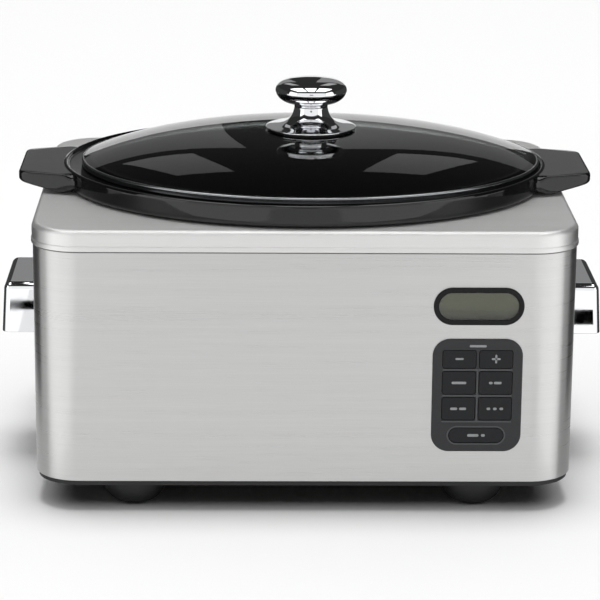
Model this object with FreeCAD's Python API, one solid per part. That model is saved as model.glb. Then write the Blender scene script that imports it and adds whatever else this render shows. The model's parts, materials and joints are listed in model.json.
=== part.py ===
import FreeCAD, Part
import math
import os

V = FreeCAD.Vector

# Frame: origin on the floor under the middle of the cooker, +X right, +Y to the back, +Z up. Millimetres.

# housing
housing_w = 354.0
housing_d = 286.0
corner_r = 30.0
sheet = 0.9
wrap_h = 154.3
seam = 0.6
gasket_inset = 0.5
deck_h = 14.0
deck_overhang = 0.6
deck_edge_r = 3.6
hem_h = 3.6
hem_proud = 0.5
frame_drop = 14.0
frame_wall = 2.0
fit = 0.3

# base tray and feet
foot_h = 17.5
foot_top_r = 21.5
foot_contact_r = 10.5
foot_inset_x = 65.0
foot_inset_y = 26.0
tray_plate = 3.2
tray_inset = 1.6
tray_wall = 2.0
tray_wall_h = 12.0
foot_bulge = 0.5
foot_screw_sink = 8.0
screw_head_t = 2.0
boss_h = 6.0
vent_len = 60.0
vent_w = 4.0
vent_pitch = 12.0
vent_count = 5

# crock
rim_margin_x = 12.4
rim_margin_y = 3.6
rim_h = 15.3
rim_gap = 0.3
crest = 2.6
seat_depth = 2.6
rim_lap = 11.1
crock_clear = 2.5
crock_rest_x = 1.4
crock_wall = 7.0
crock_floor = 8.0
foot_ring_w = 28.0
foot_ring_h = 1.0
cavity_curve = [(0.0, 16.0), (4.0, 6.5), (12.0, 1.2), (24.0, 0.0)]
rim_curve = [(1.6, 0.0), (0.4, 0.6), (0.0, 1.8)]
crest_curve = [(0.0, 2.0), (0.5, 0.7), (1.4, 0.0)]
lug_reach = 29.1
lug_tip_half = 36.0
lug_root_half = 48.0
lug_tip_t = 7.0
lug_root_t = 12.6
lug_drop = 1.2
lug_corner_r = 9.0
lug_edge_r = 1.6
lug_under_start = 14.0

# heating well
liner_wall = 1.0
liner_floor_z = 47.0
liner_taper = 2.5
liner_flange = 5.0
bowl_curve = [(0.0, 17.0), (3.5, 7.0), (11.5, 1.5), (21.5, 0.0)]
bolt_r = 2.5
bolt_head_t = 3.0
support_r = 9.0
sensor_x = 32.0
sensor_r = 6.0
sensor_h = 4.0
sensor_stem_r = 3.0
sensor_stem_h = 5.0
bracket_half = 14.0
bracket_t = 1.2
fuse_rise = 30.0
fuse_r = 2.2
fuse_len = 14.0
fuse_lead_r = 0.6
fuse_lead = 6.0
clip_half = 7.0
clip_h = 6.0
clip_wall = 1.2
heater_t = 2.5
heater_h = 46.0
heater_z = 72.0
blanket_t = 4.0
blanket_h = 88.0

# lid
lid_gap_x = 5.1
lid_gap_y = 10.4
lid_side_gap = 0.9
lid_rise = 20.0
dome_flat = 0.2
glass_t = 4.0
glass_edge = 2.0
band_h = 4.5
band_w = 5.0
band_lip = 0.5
knob_hole_r = 4.0

# knob
knob_base_r = 30.8
knob_neck_r = 11.3
knob_neck_h = 17.0
knob_cap_r = 24.6
knob_cap_h = 17.2
gasket_t = 0.8
knob_screw_r = 2.5
knob_thread = 12.0
knob_washer_r = 9.0
knob_washer_t = 1.0
knob_screw_head_t = 2.6

# side handles
handle_len = 72.6
handle_h = 35.4
handle_top_z = 126.4
handle_reach_top = 26.5
handle_reach_low = 28.5
handle_wall = 4.0
handle_back = 3.0
handle_r = 5.0
handle_screw_r = 2.0
handle_screw_pitch = 44.0
handle_screw_head_t = 2.2
handle_inner_r = 3.0
plate_t = 1.5
plate_inset_y = 4.0
plate_inset_z = 6.0

# display
panel_side = 5.95
display_w = 58.7
display_h = 25.0
display_gap = 9.3
bezel_proud = 1.3
panel_lip = 1.0
bezel_ring = 2.6
lens_t = 1.6
lens_sink = 0.5
lens_play = 0.05
lcd_gap = 0.4
lcd_margin_x = 6.0
lcd_margin_z = 1.5
holder_margin = 3.0
holder_t = 3.0

# keypad
pad_rise = 21.4
pad_side = 6.6
pad_above = 7.5
pad_below = 6.1
pad_r = 11.5
pad_body = 4.0
key_w = 21.6
key_h = 15.4
key_top_h = 12.0
key_r = 1.5
rib = 1.6
key_gap = 0.3
key_proud = 0.3
key_travel = 0.8
key_flange = 0.5
key_flange_t = 1.0
power_key_w = 35.7
power_key_h = 10.2
power_key_drop = 4.3
switch_room = 4.6
switch_half = 3.0
switch_h = 3.5
plunger_r = 1.7
board_t = 1.6
board_margin = 2.0
post_r = 3.0
post_inset_x = 5.3
post_inset_z = 4.2
post_bore = 7.0
screw_r = 1.4
screw_len = 6.0
screw_play = 0.05

# power electronics and cord inlet
mains_board_w = 58.0
mains_board_d = 32.0
mains_board_z = 28.0
mains_inset_x = 19.0
mains_inset_y = 12.0
board_hole_inset = 4.0
transformer_x = -11.0
bobbin = (14.0, 20.0, 15.0)
laminations = (20.0, 13.0, 17.0)
relay_at = (6.0, -6.0)
relay_size = (11.0, 14.0, 15.0)
capacitor_at = (6.0, 7.0)
capacitor_r = 4.0
capacitor_h = 14.0
terminal_x = 18.0
terminal_size = (8.0, 22.0, 10.0)
terminal_pitch = 7.0
terminal_bore_r = 1.6
lead_r = 1.5
lead_half_pitch = 7.0
lead_side = 3.0
ribbon_w = 12.0
ribbon_t = 0.9
ribbon_rise = 4.0
ribbon_gap = 0.9
ribbon_end_gap = 2.0
ribbon_front_lap = 8.0
ribbon_back_lap = 14.0
gland_bore_r = 3.7
gland_body_r = 8.0
gland_flange_r = 11.5
gland_flange_t = 1.6
gland_len = 18.0
nut_grow = 1.0
nut_t = 5.0
gland_z = 58.0
gland_inset_x = 84.0

# levels and outlines that follow from the sizes above
half_w = housing_w / 2
half_d = housing_d / 2
tray_z = foot_h + tray_plate
wrap_top = tray_z + wrap_h
deck_z = wrap_top + seam
deck_top = deck_z + deck_h
rim_a = half_w - rim_margin_x
rim_b = half_d - rim_margin_y
rim_z = deck_top + rim_gap
crest_z = rim_z + rim_h
seat_z = crest_z - seat_depth
well_a = rim_a - rim_lap
well_b = rim_b - rim_lap
body_a = well_a - crock_clear
body_b = well_b - crock_clear
crock_z = liner_floor_z + rim_gap
lid_a = rim_a - crest - lid_gap_x
lid_b = rim_b - crest - lid_gap_y
lid_rest_x = crock_rest_x + lid_gap_x - lid_side_gap
lid_z = seat_z + rim_gap
glass_z = lid_z + band_lip
dome_z = glass_z + glass_t - band_lip
dome_top = dome_z + lid_rise
front_y = -half_d
inner_front_y = front_y + sheet
panel_x = half_w - corner_r - panel_side - display_w / 2
key_row = key_h + rib + 2 * key_gap
keys_above = key_row + rib / 2 + key_gap + key_top_h
keys_below = key_row + power_key_drop + power_key_h
keys_z = tray_z + pad_rise + pad_below + keys_below
pad_w = 2 * key_w + rib + 2 * key_gap + 2 * pad_side
pad_h = keys_above + pad_above + keys_below + pad_below
pad_z = tray_z + pad_rise + pad_h / 2
display_z = tray_z + pad_rise + pad_h + display_gap + display_h / 2
key_front_y = front_y - bezel_proud - key_proud
pad_back_y = front_y + pad_body
key_flange_y = pad_back_y + key_gap
key_back_y = key_flange_y + key_flange_t
switch_y = key_back_y + key_travel + key_gap
control_y = switch_y + switch_room


def block(x0, y0, z0, x1, y1, z1):
    return Part.makeBox(x1 - x0, y1 - y0, z1 - z0, V(x0, y0, z0))


def rod(r, length, at=V(0, 0, 0), along=V(0, 0, 1)):
    return Part.makeCylinder(r, length, at, along)


def rounded_face(w, d, r):
    """A rectangle w by d about the origin in the XY plane, with round corners."""
    x, y, k = w / 2, d / 2, r * (1 - math.sqrt(0.5))
    corners = []
    for sx, sy in ((1, 1), (-1, 1), (-1, -1), (1, -1)):
        side = V(sx * x, sy * (y - r), 0)
        end = V(sx * (x - r), sy * y, 0)
        mid = V(sx * (x - k), sy * (y - k), 0)
        corners.append((side, mid, end) if sx * sy > 0 else (end, mid, side))
    edges = []
    for i, (start, mid, end) in enumerate(corners):
        edges.append(Part.Arc(start, mid, end).toShape())
        following = corners[(i + 1) % len(corners)][0]
        if (following - end).Length > 1e-6:
            edges.append(Part.LineSegment(end, following).toShape())
    return Part.Face(Part.Wire(edges))


def slab(w, d, r, z0, z1):
    face = rounded_face(w, d, r)
    face.translate(V(0, 0, z0))
    return face.extrude(V(0, 0, z1 - z0))


def housing_slab(inset, z0, z1):
    """A slab over the housing's whole plan, inset all round."""
    return slab(housing_w - 2 * inset, housing_d - 2 * inset, corner_r - inset, z0, z1)


def front_plate(w, h, r, x, z, y0, y1):
    """A round-cornered plate parallel to the front panel, from y0 back to y1."""
    face = rounded_face(w, h, r)
    face.rotate(V(0, 0, 0), V(1, 0, 0), 90)
    face.translate(V(x, y0, z))
    return face.extrude(V(0, y1 - y0, 0))


def oval(a, b, z, x=0.0):
    if a >= b:
        curve = Part.Ellipse(V(x, 0, z), a, b)
    else:
        curve = Part.Ellipse(V(x, b, z), V(x + a, 0, z), V(x, 0, z))
    return Part.Wire(curve.toShape())


def oval_loft(a, b, rings, x=0.0):
    """A solid through ovals; each ring is (how far in from a and b, its height)."""
    return Part.makeLoft([oval(a - i, b - i, z, x) for i, z in rings], True, True)


def oval_ring(a, b, width, z0, z1, x=0.0):
    outer = oval_loft(a, b, [(0, z0), (0, z1)], x)
    inner = oval_loft(a - width, b - width, [(0, z0 - 1), (0, z1 + 1)], x)
    return outer.cut(inner)


def turned(points, x=0.0):
    """A solid of revolution about a vertical axis; points are (radius, height)."""
    wire = Part.makePolygon([V(r, 0, z) for r, z in points + points[:1]])
    body = Part.Face(wire).revolve(V(0, 0, 0), V(0, 0, 1), 360)
    body.translate(V(x, 0, 0))
    return body


def top_edges(shape, z):
    return [e for e in shape.Edges if all(abs(v.Z - z) < 1e-4 for v in e.Vertexes)]


def corners(dx, dy):
    return [(sx * dx, sy * dy) for sx in (-1, 1) for sy in (-1, 1)]


# ---- base ----

def foot_places():
    return {
        "front_left_foot": (-half_w + foot_inset_x, -half_d + foot_inset_y),
        "front_right_foot": (half_w - foot_inset_x, -half_d + foot_inset_y),
        "rear_left_foot": (-half_w + foot_inset_x, half_d - foot_inset_y),
        "rear_right_foot": (half_w - foot_inset_x, half_d - foot_inset_y),
    }


def foot(x, y):
    """A domed foot: its side bulges out from a small flat end, and its screw is sunk into that end."""
    low_r = (foot_contact_r + foot_top_r) / 2 + foot_bulge
    side = [(low_r, foot_h * 0.25), (foot_top_r - 1, foot_h * 0.62), (foot_top_r, foot_h)]
    body = turned([(0, 0), (foot_contact_r, 0)] + side + [(0, foot_h)])
    body = body.cut(rod(screw_r + fit, foot_h))
    body = body.cut(rod(2 * screw_r + fit, foot_screw_sink))
    body.translate(V(x, y, 0))
    return body


def foot_screw(x, y):
    head = rod(2 * screw_r, screw_head_t, V(x, y, foot_screw_sink - screw_head_t))
    return head.fuse(rod(screw_r, tray_z - foot_screw_sink + boss_h - screw_head_t, V(x, y, foot_screw_sink)))


def base_tray():
    outer = housing_slab(sheet + fit, tray_z, tray_z + tray_wall_h)
    inner = housing_slab(sheet + fit + tray_wall, tray_z, tray_z + tray_wall_h)
    tray = housing_slab(tray_inset, foot_h, tray_z).fuse(outer.cut(inner))
    for x, y in foot_places().values():
        tray = tray.fuse(rod(3 * screw_r, boss_h, V(x, y, tray_z)))
        tray = tray.cut(rod(screw_r, 2 * (tray_plate + boss_h), V(x, y, foot_h - 1)))
    for x, y in mains_screw_places():
        tray = tray.fuse(rod(post_r, mains_board_z - tray_z, V(x, y, tray_z)))
        tray = tray.cut(rod(screw_r, mains_board_z, V(x, y, tray_z)))
    for x in (-1.5 * vent_len, 0.5 * vent_len):
        for i in range(vent_count):
            y = (i - (vent_count - 1) / 2) * vent_pitch - vent_w / 2
            tray = tray.cut(block(x, y, foot_h - 1, x + vent_len, y + vent_w, tray_z + 1))
    return tray.cut(rod(bolt_r + fit, 2 * tray_plate, V(0, 0, foot_h - 1)))


# ---- steel skin ----

def wrap():
    body = housing_slab(0, tray_z, wrap_top).cut(housing_slab(sheet, tray_z - 1, wrap_top + 1))
    grow = fit - 2 * panel_lip
    body = body.cut(stadium(display_w + grow, display_h + grow, front_y - 1, inner_front_y + 1))
    body = body.cut(front_plate(pad_w + grow, pad_h + grow, pad_r - panel_lip, panel_x, pad_z,
                                front_y - 1, inner_front_y + 1))
    for x, y, z in handle_screw_places():
        body = body.cut(rod(handle_screw_r + fit / 2, 4 * sheet, V(x - 2 * sheet, y, z), V(1, 0, 0)))
    start = V(gland_x(), half_d - 2 * sheet, gland_z)
    return body.cut(rod(gland_body_r + fit / 2, 3 * sheet, start, V(0, 1, 0)))


def seam_gasket():
    outer = housing_slab(gasket_inset, wrap_top, deck_z)
    return outer.cut(housing_slab(sheet + fit, wrap_top - 1, deck_z + 1))


def top_frame():
    bottom = wrap_top - frame_drop
    outer = housing_slab(sheet + fit, bottom, deck_top - deck_edge_r)
    inner = housing_slab(sheet + fit + frame_wall, bottom - 1, deck_top)
    return outer.cut(inner).cut(lcd_notch())


def lcd_notch():
    """The room that the display's holder needs, which the frame is notched for where they would meet."""
    w, h = display_w + 2 * (holder_margin + fit), display_h + 2 * (holder_margin + fit)
    return block(panel_x - w / 2, front_y, display_z - h / 2, panel_x + w / 2, pad_back_y + holder_t + fit,
                 display_z + h / 2)


def deck():
    body = housing_slab(-deck_overhang, deck_z, deck_top)
    body = body.makeFillet(deck_edge_r, top_edges(body, deck_top))
    hem = housing_slab(-deck_overhang - hem_proud, deck_z, deck_z + hem_h)
    hem = hem.makeFillet(hem_proud * 0.9, top_edges(hem, deck_z + hem_h) + top_edges(hem, deck_z))
    under = housing_slab(sheet - deck_overhang, deck_z - 1, deck_top - sheet)
    under = under.makeFillet(deck_edge_r - sheet, top_edges(under, deck_top - sheet))
    return body.fuse(hem).cut(under).cut(oval_loft(well_a, well_b, [(0, deck_z), (0, deck_top + 1)]))


# ---- heating well ----

def bowl_rings(top, bottom, out=0.0):
    """A tapered bowl's rings grown by out, with its corner rounded above its bottom."""
    return [(-out, top)] + [(liner_taper + i - out, bottom + rise) for i, rise in bowl_curve]


def liner():
    top = deck_top - sheet
    cup = oval_loft(well_a, well_b, bowl_rings(top, liner_floor_z - liner_wall, liner_wall))
    flange = oval_loft(well_a + liner_wall + liner_flange, well_b + liner_wall + liner_flange,
                       [(0, top - liner_wall), (0, top)])
    cavity = oval_loft(well_a, well_b, [(0, top + 1)] + bowl_rings(top, liner_floor_z))
    hole = rod(bolt_r, 3 * liner_wall, V(0, 0, liner_floor_z - 2 * liner_wall))
    return cup.fuse(flange).cut(cavity).cut(hole)


def band(inside, thick, z0, height):
    """A belt of one thickness round the well; inside is the gap from the well's outer face."""
    a, b = well_a + liner_wall + inside, well_b + liner_wall + inside
    return oval_ring(a + thick, b + thick, thick, z0, z0 + height)


def liner_support():
    top = liner_floor_z - liner_wall
    return rod(support_r, top - tray_z, V(0, 0, tray_z)).cut(rod(bolt_r + fit, top, V(0, 0, tray_z - 1)))


def liner_bolt():
    head = rod(2 * bolt_r, bolt_head_t, V(0, 0, foot_h - bolt_head_t))
    return head.fuse(rod(bolt_r - screw_play, liner_floor_z - foot_h, V(0, 0, foot_h)))


def sensor():
    """A round sensor pressed up against the well's floor, with a thinner stem for its leads."""
    z = liner_floor_z - liner_wall - sensor_h
    stem = rod(sensor_stem_r, sensor_stem_h, V(sensor_x, 0, z - sensor_stem_h))
    return rod(sensor_r, sensor_h, V(sensor_x, 0, z)).fuse(stem)


def sensor_bracket():
    top = liner_floor_z - liner_wall
    high, low = top - sensor_h, top - sensor_h - bracket_t
    strap = block(sensor_x - bracket_half, -sensor_r, low, sensor_x + bracket_half, sensor_r, high)
    for x in (sensor_x - bracket_half, sensor_x + bracket_half):
        strap = strap.fuse(block(x - bracket_t, -sensor_r, low, x + bracket_t, sensor_r, top))
    return strap.cut(rod(sensor_stem_r + fit, 3 * bracket_t, V(sensor_x, 0, low - bracket_t)))


def fuse_place():
    return well_a + liner_wall + fuse_r + screw_play, heater_z + heater_h + fuse_rise


def thermal_fuse():
    x, z = fuse_place()
    leads = rod(fuse_lead_r, fuse_len + 2 * fuse_lead, V(x, 0, z - fuse_lead))
    return rod(fuse_r, fuse_len, V(x, 0, z)).fuse(leads)


def fuse_clip():
    """A spring clip round the fuse, open towards the well."""
    x, z = fuse_place()
    low = z + (fuse_len - clip_h) / 2
    body = block(x - clip_wall, -clip_half, low, x + fuse_r + clip_wall, clip_half, low + clip_h)
    body = body.cut(rod(fuse_r + screw_play, fuse_len, V(x, 0, z)))
    return body.cut(block(x - fuse_r, -fuse_r / 2, low - 1, x, fuse_r / 2, low + clip_h + 1))


# ---- side handles ----

def handle_screw_places():
    z = handle_top_z - handle_h / 2
    return [(side * half_w, s * handle_screw_pitch / 2, z) for side in (-1, 1) for s in (-1, 1)]


def handle(side):
    low = handle_top_z - handle_h
    profile = [(0, low), (handle_reach_low, low), (handle_reach_top, handle_top_z), (0, handle_top_z)]
    wire = Part.makePolygon([V(x, 0, z) for x, z in profile + profile[:1]])
    solid = Part.Face(wire).extrude(V(0, handle_len, 0))
    solid.translate(V(0, -handle_len / 2, 0))
    front_edges = [e for e in solid.Edges if all(v.X > 1 for v in e.Vertexes)]
    kept_sharp = top_edges(solid, low)
    side_edges = [e for e in top_edges(solid, handle_top_z) if abs(e.Vertexes[0].Y - e.Vertexes[1].Y) < 1e-4]
    rounded = [e for e in front_edges + side_edges if not any(e.isSame(x) for x in kept_sharp)]
    solid = solid.makeFillet(handle_r, rounded)
    grip = block(handle_back, -handle_len / 2 + handle_wall, low - 1,
                 handle_reach_top - handle_wall, handle_len / 2 - handle_wall, handle_top_z - handle_wall)
    upper_edges = [e for e in grip.Edges if all(v.Z > low for v in e.Vertexes)]
    solid = solid.cut(grip.makeFillet(handle_inner_r, upper_edges))
    for x, y, z in handle_screw_places()[:2]:
        solid = solid.cut(rod(handle_screw_r, handle_back + 1, V(-0.5, y, z), V(1, 0, 0)))
    solid.translate(V(half_w, 0, 0))
    return solid if side > 0 else solid.mirror(V(0, 0, 0), V(1, 0, 0))


def handle_plate(side):
    x = half_w - sheet - plate_t
    low = handle_top_z - handle_h
    half = handle_len / 2 - plate_inset_y
    body = block(x, -half, low + plate_inset_z, x + plate_t, half, handle_top_z - plate_inset_z)
    for _, y, z in handle_screw_places()[2:]:
        body = body.cut(rod(handle_screw_r + fit / 2, 3 * plate_t, V(x - plate_t, y, z), V(1, 0, 0)))
    return body if side > 0 else body.mirror(V(0, 0, 0), V(1, 0, 0))


def handle_screw(x, y, z):
    side = 1 if x > 0 else -1
    grip = sheet + plate_t + handle_screw_head_t
    start, along = V(x - side * grip, y, z), V(side, 0, 0)
    head = rod(2 * handle_screw_r, handle_screw_head_t, start, along)
    return head.fuse(rod(handle_screw_r - screw_play, grip + handle_back, start, along))


# ---- display ----

def stadium(w, h, y0, y1):
    return front_plate(w, h, h / 2 - 0.01, panel_x, display_z, y0, y1)


def display_bezel():
    outer = stadium(display_w, display_h, front_y - bezel_proud, front_y)
    outer = outer.fuse(stadium(display_w - 2 * panel_lip, display_h - 2 * panel_lip, front_y, pad_back_y))
    hole = stadium(display_w - 2 * bezel_ring, display_h - 2 * bezel_ring, front_y - 5, pad_back_y + 1)
    return outer.cut(hole)


def display_lens():
    y, shrink = front_y - bezel_proud + lens_sink, 2 * (bezel_ring + lens_play)
    return stadium(display_w - shrink, display_h - shrink, y, y + lens_t)


def lcd_panel():
    w, h = display_w - 2 * (bezel_ring + lcd_margin_x), display_h - 2 * (bezel_ring + lcd_margin_z)
    y = front_y - bezel_proud + lens_sink + lens_t + lcd_gap
    return block(panel_x - w / 2, y, display_z - h / 2, panel_x + w / 2, pad_back_y, display_z + h / 2)


def lcd_holder():
    w, h = display_w + 2 * holder_margin, display_h + 2 * holder_margin
    back = block(panel_x - w / 2, pad_back_y, display_z - h / 2, panel_x + w / 2, pad_back_y + holder_t,
                 display_z + h / 2)
    ear_r = 0.8 * holder_margin
    for dx, dz in corners(display_w / 2, display_h / 2):
        start = V(panel_x + dx, inner_front_y, display_z + dz)
        back = back.fuse(rod(ear_r, pad_back_y - inner_front_y, start, V(0, 1, 0)))
    return back


# ---- keypad ----

def key_table():
    """Each key's width, height and place (x, z) from the middle of the four mode keys."""
    column = (rib + 2 * key_gap + key_w) / 2
    top = keys_above - key_top_h / 2
    low = power_key_h / 2 - keys_below
    return {
        "time_down_key": (key_w, key_top_h, -column, top),
        "time_up_key": (key_w, key_top_h, column, top),
        "high_key": (key_w, key_h, -column, key_row / 2),
        "low_key": (key_w, key_h, column, key_row / 2),
        "simmer_key": (key_w, key_h, -column, -key_row / 2),
        "warm_key": (key_w, key_h, column, -key_row / 2),
        "power_key": (power_key_w, power_key_h, 0.0, low),
    }


def key_corner(h):
    return power_key_h / 2 - 0.01 if h == power_key_h else key_r


def key(w, h, x, z):
    r = key_corner(h)
    cap = front_plate(w, h, r, panel_x + x, keys_z + z, key_front_y, key_flange_y)
    grow = 2 * key_flange
    flange = front_plate(w + grow, h + grow, r + key_flange, panel_x + x, keys_z + z,
                         key_flange_y, key_back_y)
    return cap.fuse(flange)


def post_places():
    dx, dz = pad_w / 2 - post_inset_x, pad_h / 2 - post_inset_z
    return [(panel_x + sx, pad_z + sz) for sx, sz in corners(dx, dz)]


def keypad_bezel():
    body = front_plate(pad_w, pad_h, pad_r, panel_x, pad_z, front_y - bezel_proud, front_y)
    w, h, r = pad_w - 2 * panel_lip, pad_h - 2 * panel_lip, pad_r - panel_lip
    body = body.fuse(front_plate(w, h, r, panel_x, pad_z, front_y, pad_back_y))
    for kw, kh, x, z in key_table().values():
        grow = 2 * key_gap
        hole = front_plate(kw + grow, kh + grow, key_corner(kh) + key_gap, panel_x + x, keys_z + z,
                           front_y - 5, pad_back_y + 1)
        body = body.cut(hole)
    for x, z in post_places():
        post = rod(post_r, control_y - inner_front_y - fit, V(x, inner_front_y + fit, z), V(0, 1, 0))
        body = body.fuse(post).cut(rod(screw_r, post_bore, V(x, control_y - post_bore, z), V(0, 1, 0)))
    return body


def control_board():
    w, h = pad_w + 2 * board_margin, pad_h + 2 * board_margin
    x0, z0 = panel_x - w / 2, pad_z - h / 2
    board = block(x0, control_y, z0, x0 + w, control_y + board_t, z0 + h)
    for x, z in post_places():
        board = board.cut(rod(screw_r + fit / 2, 3 * board_t, V(x, control_y - board_t, z), V(0, 1, 0)))
    return board


def tact_switch(x, z):
    """A switch behind a key: a square body with a round plunger."""
    x, z, front = panel_x + x, keys_z + z, control_y - switch_h
    body = block(x - switch_half, front, z - switch_half, x + switch_half, control_y, z + switch_half)
    return body.fuse(rod(plunger_r, front - switch_y, V(x, switch_y, z), V(0, 1, 0)))


def board_screw(x, z):
    face = control_y + board_t
    shank = rod(screw_r - screw_play, screw_len, V(x, face - screw_len, z), V(0, 1, 0))
    return shank.fuse(rod(2 * screw_r, screw_head_t, V(x, face, z), V(0, 1, 0)))


# ---- mains board, wiring and cord inlet ----

def mains_x():
    return half_w - mains_inset_x - mains_board_w / 2


def mains_y():
    return half_d - mains_inset_y - mains_board_d / 2


def mains_board():
    x0, y0 = mains_x() - mains_board_w / 2, mains_y() - mains_board_d / 2
    board = block(x0, y0, mains_board_z, x0 + mains_board_w, y0 + mains_board_d, mains_board_z + board_t)
    for x, y in mains_screw_places():
        board = board.cut(rod(screw_r + fit / 2, 3 * board_t, V(x, y, mains_board_z - board_t)))
    return board


def mains_screw_places():
    dx, dy = mains_board_w / 2 - board_hole_inset, mains_board_d / 2 - board_hole_inset
    return [(mains_x() + sx, mains_y() + sy) for sx, sy in corners(dx, dy)]


def mains_screw(x, y):
    face = mains_board_z + board_t
    shank = rod(screw_r - screw_play, screw_len, V(x, y, face - screw_len))
    return shank.fuse(rod(2 * screw_r, screw_head_t, V(x, y, face)))


def on_board(x, y, size):
    """A component standing on the mains board, centred x, y from the board's centre."""
    w, d, h = size
    z = mains_board_z + board_t
    x, y = mains_x() + x, mains_y() + y
    return block(x - w / 2, y - d / 2, z, x + w / 2, y + d / 2, z + h)


def transformer():
    return on_board(transformer_x, 0, bobbin).fuse(on_board(transformer_x, 0, laminations))


def capacitor():
    x, y = capacitor_at
    return rod(capacitor_r, capacitor_h, V(mains_x() + x, mains_y() + y, mains_board_z + board_t))


def terminal_block():
    w, d, h = terminal_size
    body = on_board(terminal_x, 0, terminal_size)
    x, z = mains_x() + terminal_x + 0.75 * w, mains_board_z + board_t + h / 2
    for i in (-1, 0, 1):
        body = body.cut(rod(terminal_bore_r, 0.6 * w, V(x, mains_y() + i * terminal_pitch, z), V(-1, 0, 0)))
    return body


def gland_x():
    return half_w - gland_inset_x


def gland():
    body = rod(gland_body_r, gland_len, V(gland_x(), half_d - gland_len, gland_z), V(0, 1, 0))
    flange = rod(gland_flange_r, gland_flange_t, V(gland_x(), half_d, gland_z), V(0, 1, 0))
    flange = flange.makeFillet(gland_flange_t / 2, top_edges_y(flange, half_d + gland_flange_t))
    bore = rod(gland_bore_r, 2 * gland_len, V(gland_x(), half_d - gland_len - 1, gland_z), V(0, 1, 0))
    return body.fuse(flange).cut(bore)


def top_edges_y(shape, y):
    return [e for e in shape.Edges if all(abs(v.Y - y) < 1e-4 for v in e.Vertexes)]


def gland_nut():
    y = half_d - sheet - nut_t
    nut = rod(gland_flange_r + nut_grow, nut_t, V(gland_x(), y, gland_z), V(0, 1, 0))
    return nut.cut(rod(gland_body_r + screw_play, 2 * nut_t, V(gland_x(), y - 1, gland_z), V(0, 1, 0)))


def heater_leads():
    """Two sleeved leads standing beside the well, from the mains board up to the heater."""
    x, z = mains_x() + mains_board_w / 2 - lead_side, mains_board_z + board_t
    leads = []
    for y in (mains_y() - lead_half_pitch, mains_y() + lead_half_pitch):
        leads.append(rod(lead_r, heater_z + heater_h - z, V(x, y, z)))
    return leads


def wall_x(y):
    """How far out the wrap's inner face is at a place along the front corner."""
    into = -y - (half_d - corner_r)
    return half_w - corner_r + math.sqrt((corner_r - sheet) ** 2 - max(into, 0.0) ** 2)


def control_ribbon():
    """A flat ribbon cable, folded square at each end, from the control board back to the mains board."""
    z = mains_board_z + board_t + ribbon_rise
    start_x = panel_x + pad_w / 2 - ribbon_front_lap
    y0, y1 = control_y + board_t + ribbon_end_gap, mains_y() - mains_board_d / 2 - ribbon_end_gap
    x = wall_x(y0) - ribbon_gap
    run = block(x - ribbon_t, y0, z, x, y1, z + ribbon_w)
    front = block(start_x, y0, z, x, y0 + ribbon_t, z + ribbon_w)
    back = block(x - ribbon_back_lap, y1 - ribbon_t, z, x, y1, z + ribbon_w)
    return run.fuse(front).fuse(back)


# ---- crock ----

def crock_cavity_rings():
    w, floor = crock_wall, crock_z + crock_floor
    mouth = [(w - 4.0, seat_z + 0.5), (w - 1.2, seat_z - 1.2), (w, seat_z - 5.0)]
    return mouth + [(w + liner_taper + i, floor + rise) for i, rise in cavity_curve]


def crock_rim():
    low = [(i, rim_z + rise) for i, rise in rim_curve]
    high = [(i, crest_z - drop) for i, drop in crest_curve]
    return oval_loft(rim_a, rim_b, low + high)


def lug(side):
    """One end handle: a flat tongue that tapers to its tip in plan and in thickness."""
    tip, root = rim_a + lug_reach, rim_a - rim_lap
    top = crest_z - lug_drop
    plan = [(root, -lug_root_half), (tip, -lug_tip_half), (tip, lug_tip_half), (root, lug_root_half)]
    outline = Part.makePolygon([V(x, y, rim_z) for x, y in plan + plan[:1]])
    tongue = Part.Face(outline).extrude(V(0, 0, top - rim_z))
    tip_edges = [e for e in tongue.Edges if all(abs(v.X - tip) < 1e-4 for v in e.Vertexes)
                 and abs(e.Vertexes[0].Y - e.Vertexes[1].Y) < 1e-4]
    tongue = tongue.makeFillet(lug_corner_r, tip_edges)
    start = root + lug_under_start
    under = [(start, rim_z - 1), (tip + 1, rim_z - 1), (tip + 1, top - lug_tip_t), (start, top - lug_root_t)]
    reach = 2 * lug_root_half
    outline = Part.makePolygon([V(x, -reach, z) for x, z in under + under[:1]])
    tongue = tongue.cut(Part.Face(outline).extrude(V(0, 2 * reach, 0)))
    rim_edges = [e for e in top_edges(tongue, top) if max(v.X for v in e.Vertexes) > root + 1]
    tongue = tongue.makeFillet(lug_edge_r, rim_edges)
    return tongue if side > 0 else tongue.mirror(V(0, 0, 0), V(1, 0, 0))


def crock():
    body = oval_loft(body_a, body_b, bowl_rings(rim_z + crest, crock_z)).fuse(crock_rim())
    body = body.fuse([lug(1), lug(-1)])
    seat = oval_loft(rim_a - crest, rim_b - crest, [(0, seat_z), (0, crest_z + 1)])
    foot_hollow = oval_loft(body_a - foot_ring_w, body_b - foot_ring_w,
                            [(0, crock_z - 1), (0, crock_z + foot_ring_h)])
    pot = body.cut(seat).cut(oval_loft(body_a, body_b, crock_cavity_rings())).cut(foot_hollow)
    pot.translate(V(crock_rest_x, 0, 0))
    return pot


# ---- lid ----

def dome(inset, drop, low):
    """A dome over the lid's oval, steep at the edge, flat on top, lowered by drop and drawn in by inset."""
    a, b = lid_a - band_lip - inset, lid_b - band_lip - inset
    steps = [1.0, 0.975, 0.94, 0.89, 0.82, 0.73, 0.62, 0.5, 0.36, dome_flat]
    wires = [oval(a, b, low, lid_rest_x)]
    wires += [oval(a * s, b * s, dome_z - drop + lid_rise * (1 - s ** 3), lid_rest_x) for s in steps]
    return Part.makeLoft(wires, True, True)


def glass():
    outer = dome(0, 0, glass_z)
    inner = dome(glass_t + glass_edge, glass_t, glass_z - 1)
    return outer.cut(inner).cut(rod(knob_hole_r, lid_rise, V(lid_rest_x, 0, dome_top - lid_rise / 2)))


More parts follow.
